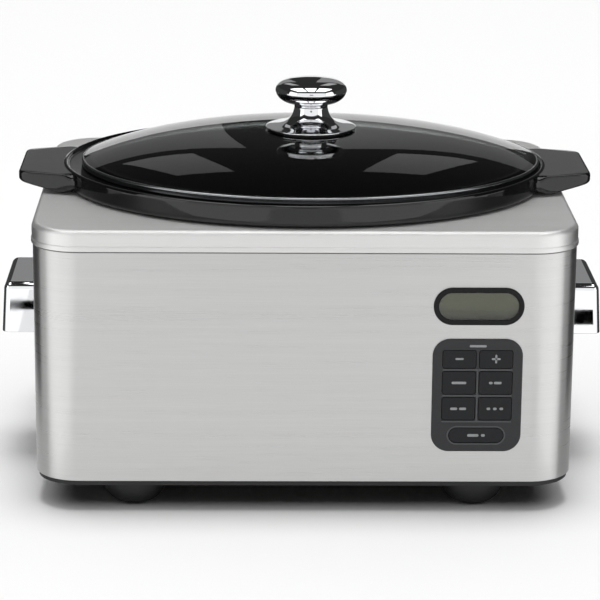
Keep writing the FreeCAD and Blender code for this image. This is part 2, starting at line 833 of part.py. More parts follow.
def lid_band(glass_lid):
    ring = oval_ring(lid_a, lid_b, band_w, lid_z, lid_z + band_h, lid_rest_x)
    return ring.cut(glass_lid)


def flat_top():
    """Height of the dome's flat middle, where its last ring closes."""
    return dome_z + lid_rise * (1 - dome_flat ** 3)


def knob_gasket():
    z = flat_top()
    return turned([(knob_screw_r + fit, z), (knob_base_r - 2, z), (knob_base_r - 2, z + gasket_t),
                   (knob_screw_r + fit, z + gasket_t)], lid_rest_x)


def knob_base():
    z = flat_top() + gasket_t
    r, n, h = knob_base_r, knob_neck_r, knob_neck_h
    flare = [(r, z + 1.2), (r - 9, z + 2.6), (n + 5, z + 5), (n + 1.5, z + 8.5), (n, z + 12)]
    body = turned([(0, z), (r, z)] + flare + [(n + 0.8, z + h), (0, z + h)], lid_rest_x)
    return body.cut(rod(knob_screw_r, knob_thread + 2, V(lid_rest_x, 0, z - 1)))


def knob_cap():
    z = flat_top() + gasket_t + knob_neck_h
    r, h = knob_cap_r, knob_cap_h
    outline = [(0, z), (r * 0.55, z), (r * 0.86, z + h * 0.2), (r, z + h * 0.52), (r * 0.95, z + h * 0.72),
               (r * 0.78, z + h * 0.9), (r * 0.4, z + h * 0.985), (0, z + h)]
    return turned(outline, lid_rest_x)


def knob_washer():
    z = flat_top() - glass_t - knob_washer_t
    ring = rod(knob_washer_r, knob_washer_t, V(lid_rest_x, 0, z))
    return ring.cut(rod(knob_screw_r + fit, 3 * knob_washer_t, V(lid_rest_x, 0, z - 1)))


def knob_screw():
    z = flat_top() - glass_t - knob_washer_t
    length = knob_washer_t + glass_t + gasket_t + knob_thread
    head = rod(2 * knob_screw_r, knob_screw_head_t, V(lid_rest_x, 0, z - knob_screw_head_t))
    return head.fuse(rod(knob_screw_r - screw_play, length, V(lid_rest_x, 0, z)))


def model():
    """Every piece of the cooker; a list is a group of like pieces that share a node."""
    glass_lid = glass()
    blanket_z = heater_z - (blanket_h - heater_h) / 2
    parts = {name: foot(x, y) for name, (x, y) in foot_places().items()}
    parts.update({name: key(*place) for name, place in key_table().items()})
    parts.update({
        "base_tray": base_tray(),
        "foot_screws": [foot_screw(x, y) for x, y in foot_places().values()],
        "housing_wrap": wrap(),
        "seam_gasket": seam_gasket(),
        "top_frame": top_frame(),
        "top_deck": deck(),
        "heater_liner": liner(),
        "heater_band": band(0.0, heater_t, heater_z, heater_h),
        "insulation_blanket": band(heater_t, blanket_t, blanket_z, blanket_h),
        "liner_support": liner_support(),
        "liner_bolt": liner_bolt(),
        "temperature_sensor": sensor(),
        "sensor_bracket": sensor_bracket(),
        "thermal_fuse": thermal_fuse(),
        "fuse_clip": fuse_clip(),
        "left_handle": handle(-1),
        "right_handle": handle(1),
        "left_handle_plate": handle_plate(-1),
        "right_handle_plate": handle_plate(1),
        "handle_screws": [handle_screw(*place) for place in handle_screw_places()],
        "display_bezel": display_bezel(),
        "display_lens": display_lens(),
        "lcd_panel": lcd_panel(),
        "lcd_holder": lcd_holder(),
        "keypad_bezel": keypad_bezel(),
        "control_board": control_board(),
        "tact_switches": [tact_switch(x, z) for _, _, x, z in key_table().values()],
        "board_screws": [board_screw(x, z) for x, z in post_places()],
        "mains_board": mains_board(),
        "mains_board_screws": [mains_screw(x, y) for x, y in mains_screw_places()],
        "transformer": transformer(),
        "relay": on_board(*relay_at, relay_size),
        "capacitor": capacitor(),
        "terminal_block": terminal_block(),
        "cord_gland": gland(),
        "gland_nut": gland_nut(),
        "heater_leads": heater_leads(),
        "control_ribbon": control_ribbon(),
        "crock": crock(),
        "glass_lid": glass_lid,
        "lid_band": lid_band(glass_lid),
        "knob_gasket": knob_gasket(),
        "knob_base": knob_base(),
        "knob_cap": knob_cap(),
        "knob_washer": knob_washer(),
        "knob_screw": knob_screw(),
    })
    return parts


os.makedirs("parts", exist_ok=True)
for name, piece in model().items():
    solids = piece if isinstance(piece, list) else piece.Solids
    shape = solids[0] if len(solids) == 1 else Part.makeCompound(solids)
    if not shape.isValid():
        raise ValueError(name + " is not a valid shape")
    shape.exportStep("parts/" + name + ".step")
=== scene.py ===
import json
import math

import bmesh
import bpy
from mathutils import Matrix, Vector


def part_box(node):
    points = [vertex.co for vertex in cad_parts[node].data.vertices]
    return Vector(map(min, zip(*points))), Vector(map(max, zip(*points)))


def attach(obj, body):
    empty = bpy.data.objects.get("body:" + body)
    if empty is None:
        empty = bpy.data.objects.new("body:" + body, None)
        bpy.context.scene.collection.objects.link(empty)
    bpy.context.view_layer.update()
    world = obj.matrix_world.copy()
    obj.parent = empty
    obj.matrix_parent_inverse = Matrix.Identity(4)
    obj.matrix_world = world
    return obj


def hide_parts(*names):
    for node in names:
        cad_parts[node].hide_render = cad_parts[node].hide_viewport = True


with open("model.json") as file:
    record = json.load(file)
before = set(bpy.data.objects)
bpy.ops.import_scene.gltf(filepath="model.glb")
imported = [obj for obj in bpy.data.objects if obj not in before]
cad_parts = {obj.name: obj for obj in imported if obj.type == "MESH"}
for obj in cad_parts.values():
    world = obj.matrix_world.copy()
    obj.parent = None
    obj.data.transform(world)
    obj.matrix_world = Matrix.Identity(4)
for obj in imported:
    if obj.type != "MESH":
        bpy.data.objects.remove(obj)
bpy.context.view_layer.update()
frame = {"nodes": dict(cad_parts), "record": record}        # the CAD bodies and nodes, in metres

mm = 0.001
hair = 0.01 * mm         # keeps the two corners of a round end from meeting in one point
scene = bpy.context.scene
scene.view_settings.view_transform = "Standard"


def hexColor(code):
    # sRGB hex to linear RGBA
    parts = [int(code[i:i + 2], 16) / 255 for i in (1, 3, 5)]
    return [c / 12.92 if c <= 0.04045 else ((c + 0.055) / 1.055) ** 2.4 for c in parts] + [1.0]


def put(tree, kind, settings=None, to=None, **links):
    # adds one node: settings go on its properties, its sockets or a ramp's stops, and links bring other nodes
    # to its sockets; a node stands for its first output, and its own first output may go on to a socket
    node = tree.nodes.new("ShaderNode" + kind)
    for key, value in (settings or {}).items():
        if key == "stops":      # (place, hex) along a ramp
            elements = node.color_ramp.elements
            while len(elements) < len(value):
                elements.new(0.5)
            for element, (place, code) in zip(elements, value):
                element.position = place
                element.color = hexColor(code)
        elif isinstance(key, str) and hasattr(node, key):
            setattr(node, key, value)
        else:
            node.inputs[key].default_value = value
    for key, source in links.items():
        socket = int(key[1:]) if key[0] == "i" and key[1:].isdigit() else key.replace("_", " ")
        output = source if isinstance(source, bpy.types.NodeSocket) else source.outputs[0]
        tree.links.new(output, node.inputs[socket])
    if to is not None:
        tree.links.new(node.outputs[0], to)
    return node


def newMaterial(name, **shaderSettings):
    # a material and its Principled shader's sockets; keys are their names with spaces as underscores
    material = bpy.data.materials.new(name)
    material.use_nodes = True
    tree = material.node_tree
    shader = next(n for n in tree.nodes if n.type == "BSDF_PRINCIPLED")
    for key, value in shaderSettings.items():
        shader.inputs[key.replace("_", " ")].default_value = value
    return material, tree, shader.inputs


def makePiece(name, points, faces):
    mesh = bpy.data.meshes.new(name)
    mesh.from_pydata([tuple(p) for p in points], [], faces)
    mesh.validate()
    mesh.update()
    piece = bpy.data.objects.new(name, mesh)
    scene.collection.objects.link(piece)
    return piece


def skin(name, rings, closed=False, capFirst=False, capLast=False):
    # a surface through rings of equal count; closed joins the last ring to the first
    count = len(rings[0])
    points = [p for ring in rings for p in ring]
    faces = []
    for r in range(len(rings) if closed else len(rings) - 1):
        low, high = r * count, ((r + 1) % len(rings)) * count
        faces += [(low + i, low + (i + 1) % count, high + (i + 1) % count, high + i) for i in range(count)]
    if capFirst:
        faces.append(tuple(range(count))[::-1])
    if capLast:
        faces.append(tuple(range(len(points) - count, len(points))))
    return makePiece(name, points, faces)


def smoothLine(points, steps=6):
    # a Catmull-Rom curve through the points
    curve = []
    for i in range(len(points) - 1):
        p0, p1, p2 = points[max(i - 1, 0)], points[i], points[i + 1]
        p3 = points[min(i + 2, len(points) - 1)]
        for k in range(steps):
            t = k / steps
            curve.append(tuple(0.5 * (2 * b + (c - a) * t + (2 * a - 5 * b + 4 * c - d) * t * t
                                      + (3 * b - a - 3 * c + d) * t ** 3)
                               for a, b, c, d in zip(p0, p1, p2, p3)))
    return curve + [tuple(points[-1])]


def arc(cx, cy, radius, start, end, steps):
    # points on an arc, in degrees
    angles = [math.radians(start + (end - start) * i / steps) for i in range(steps + 1)]
    return [(cx + radius * math.cos(a), cy + radius * math.sin(a)) for a in angles]


def lathe(name, profile, centre, count=96, closed=False):
    # turns (radius, height) points about the vertical through centre; a closed profile makes a ring
    cx, cy, cz = centre
    turns = [2 * math.pi * i / count for i in range(count)]
    rings = []
    for radius, height in profile:
        radius = max(radius, 0.02 * mm)
        rings.append([(cx + radius * math.cos(t), cy + radius * math.sin(t), cz + height) for t in turns])
    return skin(name, rings, closed, not closed, not closed)


def roundedOutline(width, depth, radius, perCorner=24, perFlat=16, guard=1.5 * mm):
    # points round a round-cornered rectangle; a guard point near each corner keeps the flats flat in shading
    corners = []
    for k, (sx, sy) in enumerate(((1, 1), (-1, 1), (-1, -1), (1, -1))):
        x, y = sx * (width / 2 - radius), sy * (depth / 2 - radius)
        corners.append(arc(x, y, radius, 90 * k, 90 * (k + 1), perCorner))
    points = []
    for k, corner in enumerate(corners):
        start, end = Vector(corner[-1]), Vector(corners[(k + 1) % 4][0])
        gap = end - start
        points += corner if gap.length > hair else corner[:-1]
        if gap.length > 3 * guard:
            step = gap.normalized() * guard
            points += [tuple(start + step + (gap - 2 * step) * i / perFlat) for i in range(perFlat + 1)]
    return points


def levelRings(width, depth, radius, profile, **counts):
    # round-cornered rings lying level, for each (how far in, height)
    rings = []
    for inset, z in profile:
        outline = roundedOutline(width - 2 * inset, depth - 2 * inset, radius - inset, **counts)
        rings.append([(x, y, z) for x, y in outline])
    return rings


def frontRings(low, high, radius, profile, **counts):
    # round-cornered rings standing parallel to the front panel, for each (how far in, y)
    x, z = (low.x + high.x) / 2, (low.z + high.z) / 2
    width, height = high.x - low.x, high.z - low.z
    rings = []
    for inset, y in profile:
        outline = roundedOutline(width - 2 * inset, height - 2 * inset, radius - inset, **counts)
        rings.append([(x + px, y, z + pz) for px, pz in outline])
    return rings


def ovalRing(a, b, z, count, x=0.0):
    turns = [2 * math.pi * i / count for i in range(count)]
    return [(x + a * math.cos(t), b * math.sin(t), z) for t in turns]


def applyModifiers(piece):
    # keeps the shape that the modifiers give and drops them
    graph = bpy.context.evaluated_depsgraph_get()
    mesh = bpy.data.meshes.new_from_object(piece.evaluated_get(graph))
    piece.modifiers.clear()
    piece.data = mesh


def faceOutwards(piece):
    mesh = bmesh.new()
    mesh.from_mesh(piece.data)
    bmesh.ops.recalc_face_normals(mesh, faces=mesh.faces)
    mesh.to_mesh(piece.data)
    mesh.free()


def cutAway(piece, cutters):
    faceOutwards(piece)
    for cutter in cutters:
        faceOutwards(cutter)
        modifier = piece.modifiers.new("cut", "BOOLEAN")
        modifier.operation = "DIFFERENCE"
        modifier.solver = "EXACT"
        modifier.object = cutter
    bpy.context.view_layer.update()
    applyModifiers(piece)
    for cutter in cutters:
        bpy.data.objects.remove(cutter)


def roundEdges(piece, width, segments=3, angle=40):
    modifier = piece.modifiers.new("round", "BEVEL")
    modifier.width = width
    modifier.segments = segments
    modifier.limit_method = "ANGLE"
    modifier.angle_limit = math.radians(angle)
    modifier.harden_normals = False
    bpy.context.view_layer.update()
    applyModifiers(piece)


def settle(piece, body, slot, replaced=(), finish=None, sharp=38, weighted=True):
    # the last step for each piece: smooth shading, finish, and the body that it rides on
    faceOutwards(piece)
    piece.data.shade_smooth()
    piece.data.set_sharp_from_angle(angle=math.radians(sharp))
    if weighted:
        modifier = piece.modifiers.new("weighted", "WEIGHTED_NORMAL")
        modifier.keep_sharp = True
        modifier.weight = 80
        applyModifiers(piece)
    piece.data.materials.clear()
    piece.data.materials.append(finishes[finish or slot])
    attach(piece, body)
    if replaced:
        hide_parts(*replaced)
    return piece


cameraView = {
    "lens": 160.4,             # on a 36 mm wide sensor
    "distance": 1.867,
    "target": (-0.00075, 0.0, 0.10445),
    "pitch": 15.52,            # degrees down
    "turn": -1.2,              # degrees round from the front, to the left
    "roll": 0.5,
}


def addCamera():
    pitch, turn, roll = (math.radians(cameraView[k]) for k in ("pitch", "turn", "roll"))
    back = Vector((math.sin(turn) * math.cos(pitch), -math.cos(turn) * math.cos(pitch), math.sin(pitch)))
    right = (-back).cross(Vector((0, 0, 1))).normalized()
    up = right.cross(-back)
    rolledRight = right * math.cos(roll) + up * math.sin(roll)
    rolledUp = up * math.cos(roll) - right * math.sin(roll)
    data = bpy.data.cameras.new("camera")
    data.lens = cameraView["lens"]
    data.sensor_width = 36
    data.clip_end = 50
    camera = bpy.data.objects.new("camera", data)
    scene.collection.objects.link(camera)
    axes = Matrix((rolledRight, rolledUp, back)).transposed().to_4x4()
    place = Vector(cameraView["target"]) + back * cameraView["distance"]
    camera.matrix_world = Matrix.Translation(place) @ axes
    scene.camera = camera


addCamera()
print("camera placed")

finishes = {}            # material by slot name
brushing = {"length": 45.45, "gap": 0.5}      # mm


def perSize(size):
    # the scale that makes one unit of a pattern this many mm
    return 1 / (size * mm)


def brushedSteel(name, colors, roughness, along="around"):
    # Brushed stainless sheet: an abrasive belt leaves fine level lines, which smear reflections across them.
    material, tree, sockets = newMaterial(name, Metallic=1.0, Anisotropic=0.6, Anisotropic_Rotation=0.25)
    # grit lines are about 0.05 mm apart and 40 mm long; drawn 0.5 mm apart so that they show
    length, gap = perSize(brushing["length"]), perSize(brushing["gap"])
    stretch = (length, length, gap) if along == "around" else (length, gap, gap)
    coords = put(tree, "TexCoord").outputs["Object"]
    fine = put(tree, "TexNoise", {"Scale": 1.0, "Detail": 2.0, "Roughness": 0.5},
               Vector=put(tree, "Mapping", {"Scale": stretch}, Vector=coords))
    slow = put(tree, "TexNoise", {"Scale": 1.0, "Detail": 2.0},
               Vector=put(tree, "Mapping", {"Scale": [share / 8 for share in stretch]}, Vector=coords))
    drift = put(tree, "MapRange", {"To Max": 0.4}, Value=slow)
    mixed = put(tree, "Math", {"operation": "MULTIPLY_ADD", 1: 0.6}, i0=fine, i2=drift)
    put(tree, "ValToRGB", {"stops": ((0.3, colors[0]), (0.7, colors[1]))}, sockets["Base Color"], Fac=mixed)
    put(tree, "MapRange", {"From Min": 0.3, "From Max": 0.7, "To Min": roughness - 0.04,
                           "To Max": roughness + 0.04}, sockets["Roughness"], Value=mixed)
    put(tree, "Bump", {"Strength": 0.15, "Distance": 0.01 * mm}, sockets["Normal"], Height=fine)
    if along == "X":
        put(tree, "CombineXYZ", {"X": 1.0}, sockets["Tangent"])
    else:
        put(tree, "Tangent", {"direction_type": "RADIAL", "axis": "Z"}, sockets["Tangent"])
    return material


def polishedMetal(name, color, roughness):
    # Plate or sheet buffed to a near mirror, with the faintest haze in patches where it is handled.
    material, tree, sockets = newMaterial(name, Metallic=1.0, Base_Color=hexColor(color))
    coords = put(tree, "TexCoord").outputs["Object"]
    haze = put(tree, "TexNoise", {"Scale": perSize(16.67), "Detail": 4.0}, Vector=coords)
    put(tree, "MapRange", {"From Min": 0.4, "From Max": 0.75, "To Min": roughness, "To Max": roughness + 0.05},
        sockets["Roughness"], Value=haze)
    return material


def moulded(name, colors, roughness, grain, depth, gloss=0.5):
    # Moulded plastic or rubber: an even colour with the fine grain of its spark-eroded mould, sizes in mm.
    material, tree, sockets = newMaterial(name, Roughness=roughness, Specular_IOR_Level=gloss)
    coords = put(tree, "TexCoord").outputs["Object"]
    texture = put(tree, "TexNoise", {"Scale": perSize(grain), "Detail": 3.0, "Roughness": 0.55}, Vector=coords)
    put(tree, "ValToRGB", {"stops": ((0.3, colors[0]), (0.7, colors[1]))}, sockets["Base Color"], Fac=texture)
    put(tree, "MapRange", {"From Min": 0.3, "From Max": 0.7, "To Min": roughness - 0.05,
                           "To Max": roughness + 0.08}, sockets["Roughness"], Value=texture)
    put(tree, "Bump", {"Strength": 0.6, "Distance": depth * mm}, sockets["Normal"], Height=texture)
    return material


def glazedStoneware(name):
    # Black gloss glaze fired on stoneware: deep black, mirror bright, with a slow ripple where the glaze ran.
    material, tree, sockets = newMaterial(name, IOR=1.52)
    coords = put(tree, "TexCoord").outputs["Object"]
    ripple = put(tree, "TexNoise", {"Scale": perSize(14.286), "Detail": 1.0}, Vector=coords)
    pits = put(tree, "TexNoise", {"Scale": perSize(1.6667), "Detail": 3.0}, Vector=coords)
    put(tree, "ValToRGB", {"stops": ((0.3, "#0a0a0b"), (0.75, "#121213"))}, sockets["Base Color"], Fac=pits)
    put(tree, "MapRange", {"From Min": 0.35, "From Max": 0.7, "To Min": 0.05, "To Max": 0.12},
        sockets["Roughness"], Value=pits)
    put(tree, "Bump", {"Strength": 0.35, "Distance": 0.2 * mm}, sockets["Normal"], Height=ripple)
    return material


def clearGlass(name, color, roughness=0.0):
    # Glass or acrylic, pressed and polished: clear, with a cool edge and a slow wave in what it mirrors.
    material, tree, sockets = newMaterial(name, Base_Color=hexColor(color), Roughness=roughness, IOR=1.5,
                                          Transmission_Weight=1.0)
    coords = put(tree, "TexCoord").outputs["Object"]
    wave = put(tree, "TexNoise", {"Scale": perSize(71.43), "Detail": 1.0}, Vector=coords)
    put(tree, "Bump", {"Strength": 0.15, "Distance": 0.3 * mm}, sockets["Normal"], Height=wave)
    return material


def printedBoard(name):
    # Glass-epoxy board under green solder resist: copper tracks show as slightly lighter, raised lines.
    material, tree, sockets = newMaterial(name, Roughness=0.35)
    coords = put(tree, "TexCoord").outputs["Object"]
    # tracks 0.3 mm wide on a 2 mm grid
    tracks = put(tree, "TexBrick", {"Scale": perSize(4), "Mortar Size": 0.08, "Color1": hexColor("#12502a"),
                                    "Color2": hexColor("#155a30"), "Mortar": hexColor("#2a7a48")},
                 sockets["Base Color"], Vector=coords)
    put(tree, "Bump", {"Strength": 0.5, "Distance": 0.05 * mm}, sockets["Normal"],
        Height=tracks.outputs["Fac"])
    return material


def fibreBlanket(name):
    # Needled mineral wool: pale straw fibres, matt and uneven.
    material, tree, sockets = newMaterial(name, Roughness=0.95)
    coords = put(tree, "TexCoord").outputs["Object"]
    tufts = perSize(3.333), perSize(3.333), perSize(11.11)
    fibres = put(tree, "TexNoise", {"Scale": 1.0, "Detail": 8.0, "Roughness": 0.7, "Distortion": 1.5},
                 Vector=put(tree, "Mapping", {"Scale": tufts}, Vector=coords))
    put(tree, "ValToRGB", {"stops": ((0.3, "#8d8158"), (0.7, "#d8cda2"))}, sockets["Base Color"], Fac=fibres)
    put(tree, "Bump", {"Strength": 0.8, "Distance": 0.8 * mm}, sockets["Normal"], Height=fibres)
    return material


def foilBelt(name):
    # Rolled aluminium foil pressed over heater wire: bright, with the turns of the wire embossed every 4 mm.
    material, tree, sockets = newMaterial(name, Metallic=1.0, Base_Color=hexColor("#d9d9d6"))
    coords = put(tree, "TexCoord").outputs["Object"]
    # a band of the wave is 0.314 of a unit
    turns = put(tree, "TexWave", {"Scale": perSize(12.5), "Distortion": 0.6, "bands_direction": "Z"},
                Vector=coords).outputs["Fac"]
    put(tree, "MapRange", {"To Min": 0.22, "To Max": 0.4}, sockets["Roughness"], Value=turns)
    put(tree, "Bump", {"Strength": 0.7, "Distance": 0.6 * mm}, sockets["Normal"], Height=turns)
    return material


def lcdPanel(name):
    # Liquid crystal glass: grey-green, darker towards its foot where the housing shades it.
    material, tree, sockets = newMaterial(name, Roughness=0.35)
    low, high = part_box("lcd_panel")
    coords = put(tree, "TexCoord").outputs["Object"]
    height = put(tree, "SeparateXYZ", Vector=coords).outputs["Z"]
    share = put(tree, "MapRange", {"From Min": low.z, "From Max": high.z}, Value=height)
    dots = put(tree, "TexNoise", {"Scale": perSize(1.111), "Detail": 2.0}, Vector=coords)
    tone = put(tree, "Math", {"operation": "MULTIPLY_ADD", 1: 0.06}, i0=dots, i2=share)
    put(tree, "ValToRGB", {"stops": ((0.02, "#12130f"), (0.42, "#84887a"), (0.6, "#8c9080"))},
        sockets["Base Color"], Fac=tone)
    return material


mouldings = {      # slot: name, darker and lighter colour, roughness, grain and its depth in mm, gloss
    # the tray and gland: dull, with a grain that only just shows
    "black_base": ("polypropylene moulded black", ("#0d0d0e", "#151516"), 0.5, 0.5, 0.03),
    # the display's surround: near mirror
    "black_gloss": ("ABS polished black", ("#0a0b0b", "#101111"), 0.16, 0.8, 0.004, 0.22),
    # the keypad's surround: satin, a soft sheen along its rounded edge
    "charcoal_panel": ("ABS moulded charcoal", ("#28292b", "#2f3032"), 0.42, 0.35, 0.015, 0.38),
    # the keys: darker and more matt than their surround
    "charcoal_key": ("silicone moulded charcoal", ("#202123", "#28292b"), 0.5, 0.3, 0.015, 0.2),
    # the marks on the keys: flat pale ink
    "pale_print": ("ink screen printed pale", ("#9a9d9e", "#adb0b1"), 0.55, 0.2, 0.005),
    # the ridges between the keys: worn a little lighter than the surround
    "grid_line": ("ABS moulded grey", ("#45474a", "#4f5153"), 0.45, 0.3, 0.01),
    # the feet: soft black, coarse grain
    "black_rubber": ("rubber moulded black", ("#0c0c0c", "#161616"), 0.55, 0.6, 0.04),
    # the seams: soft black with a slight sheen
    "black_silicone": ("silicone moulded black", ("#101010", "#1a1a1a"), 0.5, 0.6, 0.03),
    # small electrical parts: from hard black through taped yellow to braided red
    "black_part": ("epoxy moulded black", ("#121212", "#1c1c1c"), 0.4, 0.4, 0.02),
    "transformer_tape": ("polyester tape wound", ("#a98a1c", "#c4a42c"), 0.35, 2.0, 0.05),
    "terminal_nylon": ("nylon moulded natural", ("#c9c6b8", "#dad8cc"), 0.4, 0.5, 0.02),
    "lead_sleeve": ("glass fibre braided red", ("#6d1d14", "#97362a"), 0.7, 0.6, 0.15),
    "ribbon_grey": ("PVC extruded grey", ("#8b8d90", "#a2a4a7"), 0.45, 1.0, 0.05),
}


def makeFinishes():
    # the wrap mirrors the room in soft level streaks; the deck, brushed lengthways, is more matt, and its paler
    # colour is painted light that brightens the top
    finishes["brushed_steel"] = brushedSteel("stainless steel brushed", ("#c1c1c0", "#c9c9c8"), 0.30)
    # painted light: the deck is the same steel as the wrap, with paler colours that stand in for the light
    # falling on its top
    finishes["brushed_deck_painted_light"] = brushedSteel("stainless steel brushed lengthways painted light", ("#dcdcdb", "#e2e2e1"), 0.48,
                                            along="X")
    # plain inner metals: bluish zinc on brackets and screws, a duller drawn well
    finishes["zinc_steel"] = brushedSteel("mild steel zinc plated", ("#a9adb2", "#c3c7ca"), 0.34)
    finishes["liner_aluminium"] = brushedSteel("aluminised steel drawn", ("#b9bbbd", "#d0d2d3"), 0.33)
    # bright handles and knob, and a darker, softer rim round the glass
    finishes["chrome"] = polishedMetal("chrome plate polished", "#e4e5e7", 0.02)
    finishes["rim_steel"] = polishedMetal("stainless steel polished", "#96989a", 0.18)
    finishes["black_glaze"] = glazedStoneware("stoneware glazed black")
    finishes["lid_glass"] = clearGlass("soda lime glass pressed", "#f4f8f7")
    finishes["lcd_window"] = clearGlass("acrylic window polished", "#e2e4d6", 0.04)
    finishes["lcd_glass"] = lcdPanel("liquid crystal glass laminated")
    finishes["circuit_board"] = printedBoard("glass epoxy printed")
    finishes["mineral_wool"] = fibreBlanket("mineral wool needled")
    finishes["heater_foil"] = foilBelt("aluminium foil rolled")
    for slot, settings in mouldings.items():
        finishes[slot] = moulded(*settings)


def dressCadNodes():
    # each CAD node shows the finish of its own slot
    for part in frame["record"]["subparts"]:
        node = frame["nodes"][part["node"]]
        node.data.materials.clear()
        node.data.materials.append(finishes[part["material_slot"]])


makeFinishes()
dressCadNodes()
print("materials made")

deckShape = {
    "hemProud": 0.5 * mm,
    "hemHeight": 3.6 * mm,
    "edgeRadius": 3.6 * mm,
    "cornerRadius": 31.1 * mm,      # at the hem
    "flange": 6.0 * mm,             # how far the well's flange reaches past the opening
    "sheet": 0.9 * mm,
    "shelf": 3.0 * mm,              # level strip inside the rounded edge
    # (mm in from the hem's outside, mm up from its foot or its top)
    "hemFoot": ((0.55, 0), (0.16, 0.2), (0, 0.7)),
    "hemTop": ((0, -0.9), (0.12, -0.3), (0.4, -0.02), (0.5, 0.3)),
    # the opening's turned edge, as (mm out from the opening, mm up from the top)
    "lip": ((3.0, 0), (1.0, 0), (0.3, -0.25), (0, -0.9), (0, -1.9), (0.9, -1.9), (0.9, -1.2), (3.0, -0.9)),
}


wrapShape = {
    "sheet": 0.9 * mm,
    "corner": 30.0 * mm,
    "ease": 0.3 * mm,               # softening of its cut edges
    "windowLip": 0.85 * mm,         # how far each surround laps over its window
    "padWindow": 11.5 * mm,         # corner radius of the keypad's window, before the lap
    "glandHole": 8.15 * mm,
    "cutReach": 5.0 * mm,           # how far the cutters stand out on both sides of the sheet
}


def stadiumCutter(low, high, radius, shrink, y0, y1):
    # a solid of the panel's own rounded outline, from y0 to y1
    grown = Vector((shrink, 0, shrink))
    rings = frontRings(low + grown, high - grown, radius - shrink, [(0, y0), (0, y1)])
    return skin("cutter", rings, capFirst=True, capLast=True)


def steelWrap():
    # one sheet bent round the four sides, with returned top and bottom edges and its two windows
    low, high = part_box("housing_wrap")
    sheet, ease, lip, reach = (wrapShape[k] for k in ("sheet", "ease", "windowLip", "cutReach"))
    profile = [(ease, low.z), (0, low.z + ease), (0, high.z - ease), (ease, high.z),
               (sheet, high.z - ease), (sheet, low.z + ease)]
    rings = levelRings(high.x - low.x, high.y - low.y, wrapShape["corner"], profile)
    piece = skin("steelWrap", rings, closed=True)
    cutters = []
    for node, radius in (("display_bezel", None), ("keypad_bezel", wrapShape["padWindow"])):
        boxLow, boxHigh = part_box(node)
        radius = radius or (boxHigh.z - boxLow.z) / 2 - hair
        cutters.append(stadiumCutter(boxLow, boxHigh, radius, lip, low.y - reach, low.y + reach))
    boxLow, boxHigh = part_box("cord_gland")
    centre = (boxLow + boxHigh) / 2
    hole = wrapShape["glandHole"]
    half = Vector((hole, 0, hole))
    cutters.append(stadiumCutter(centre - half, centre + half, hole - hair, 0, high.y - reach, high.y + reach))
    cutAway(piece, cutters)
    settle(piece, "housing", "brushed_steel", ["housing_wrap"], sharp=30)


def topDeck():
    # pressed top with a rolled hem round its foot and a turned-down edge round the crock's opening
    low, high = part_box("top_deck")
    width, depth = high.x - low.x, high.y - low.y
    hem, r, sheet, flange, shelf, corner = (
        deckShape[k] for k in ("hemProud", "edgeRadius", "sheet", "flange", "shelf", "cornerRadius"))
    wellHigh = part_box("heater_liner")[1]
    a, b = wellHigh.x - flange, wellHigh.y - flange
    foot, top = low.z, high.z
    hemTop = foot + deckShape["hemHeight"]
    outside = [(i * mm, foot + z * mm) for i, z in deckShape["hemFoot"]]
    outside += [(i * mm, hemTop + z * mm) for i, z in deckShape["hemTop"]]
    outside += [(hem + r - x, top - r + z) for x, z in arc(0, 0, r, 0, 90, 8)]
    inside = [(hem + r + shelf, top - sheet), (hem + sheet, top - r), (hem + sheet, foot)]
    rings = levelRings(width, depth, corner, outside + [(hem + r + shelf, top)])
    angles = [math.atan2(y / (depth / 2), x / (width / 2)) for x, y, z in rings[-1]]
    for out, drop in deckShape["lip"]:
        rings.append([((a + out * mm) * math.cos(t), (b + out * mm) * math.sin(t), top + drop * mm)
                      for t in angles])
    rings += levelRings(width, depth, corner, inside)
    # the deck's finish is the brushed steel with painted light, a paler colour that brightens its top
    settle(skin("topDeck", rings, closed=True), "housing", "brushed_steel", ["top_deck"], "brushed_deck_painted_light", 35)


handleShape = {
    "wall": 4.0 * mm,
    "back": 3.0 * mm,               # thickness against the wrap
    "lean": 2.0 * mm,               # how much nearer its top is than its foot
    "edge": 5.0 * mm,
    "innerEdge": 3.0 * mm,
    "ease": 0.5 * mm,               # softening of its lower edge
}


def wedgeBlock(name, x0, xLow, xTop, halfLength, low, top):
    # a block along Y whose outer face leans from xLow at the foot to xTop at the top
    profile = [(x0, low), (xLow, low), (xTop, top), (x0, top)]
    rings = [[(x, y, z) for x, z in profile] for y in (-halfLength, halfLength)]
    return skin(name, rings, capFirst=True, capLast=True)


def bevelWhere(piece, width, segments, test):
    # rounds the edges that pass the test
    mesh = bmesh.new()
    mesh.from_mesh(piece.data)
    bmesh.ops.recalc_face_normals(mesh, faces=mesh.faces)
    edges = [e for e in mesh.edges if test(*[v.co for v in e.verts])]
    bmesh.ops.bevel(mesh, geom=edges, offset=width, segments=segments, profile=0.5, affect="EDGES")
    mesh.to_mesh(piece.data)
    mesh.free()


def sideHandle(side, node):
    # hollow cast grip, open underneath, rounded all round but for its lower edge
    low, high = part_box(node)
    root, reach = sorted((abs(low.x), abs(high.x)))
    half = high.y
    wall, back, lean = (handleShape[k] for k in ("wall", "back", "lean"))
    name = "leftHandle" if side < 0 else "rightHandle"
    block = wedgeBlock(name, root, reach, reach - lean, half, low.z, high.z)

    def outerEdge(p, q):
        # upright edges and those of the top, but for the ones against the wrap
        away, onTop = min(p.x, q.x) > root + hair, min(p.z, q.z) > high.z - hair
        return (away and abs(p.z - q.z) > hair) or (onTop and (away or abs(p.x - q.x) > hair))

    bevelWhere(block, handleShape["edge"], 8, outerEdge)
    hollow = wedgeBlock("hollow", root + back, reach - lean - wall, reach - lean - wall, half - wall,
                        low.z - wall, high.z - wall)
    bevelWhere(hollow, handleShape["innerEdge"], 5, lambda p, q: max(p.z, q.z) > low.z)
    cutAway(block, [hollow])
    roundEdges(block, handleShape["ease"], 2, 50)
    if side < 0:
        block.data.transform(Matrix.Scale(-1, 4, (1, 0, 0)))
    settle(block, "housing", "chrome", [node], sharp=40)


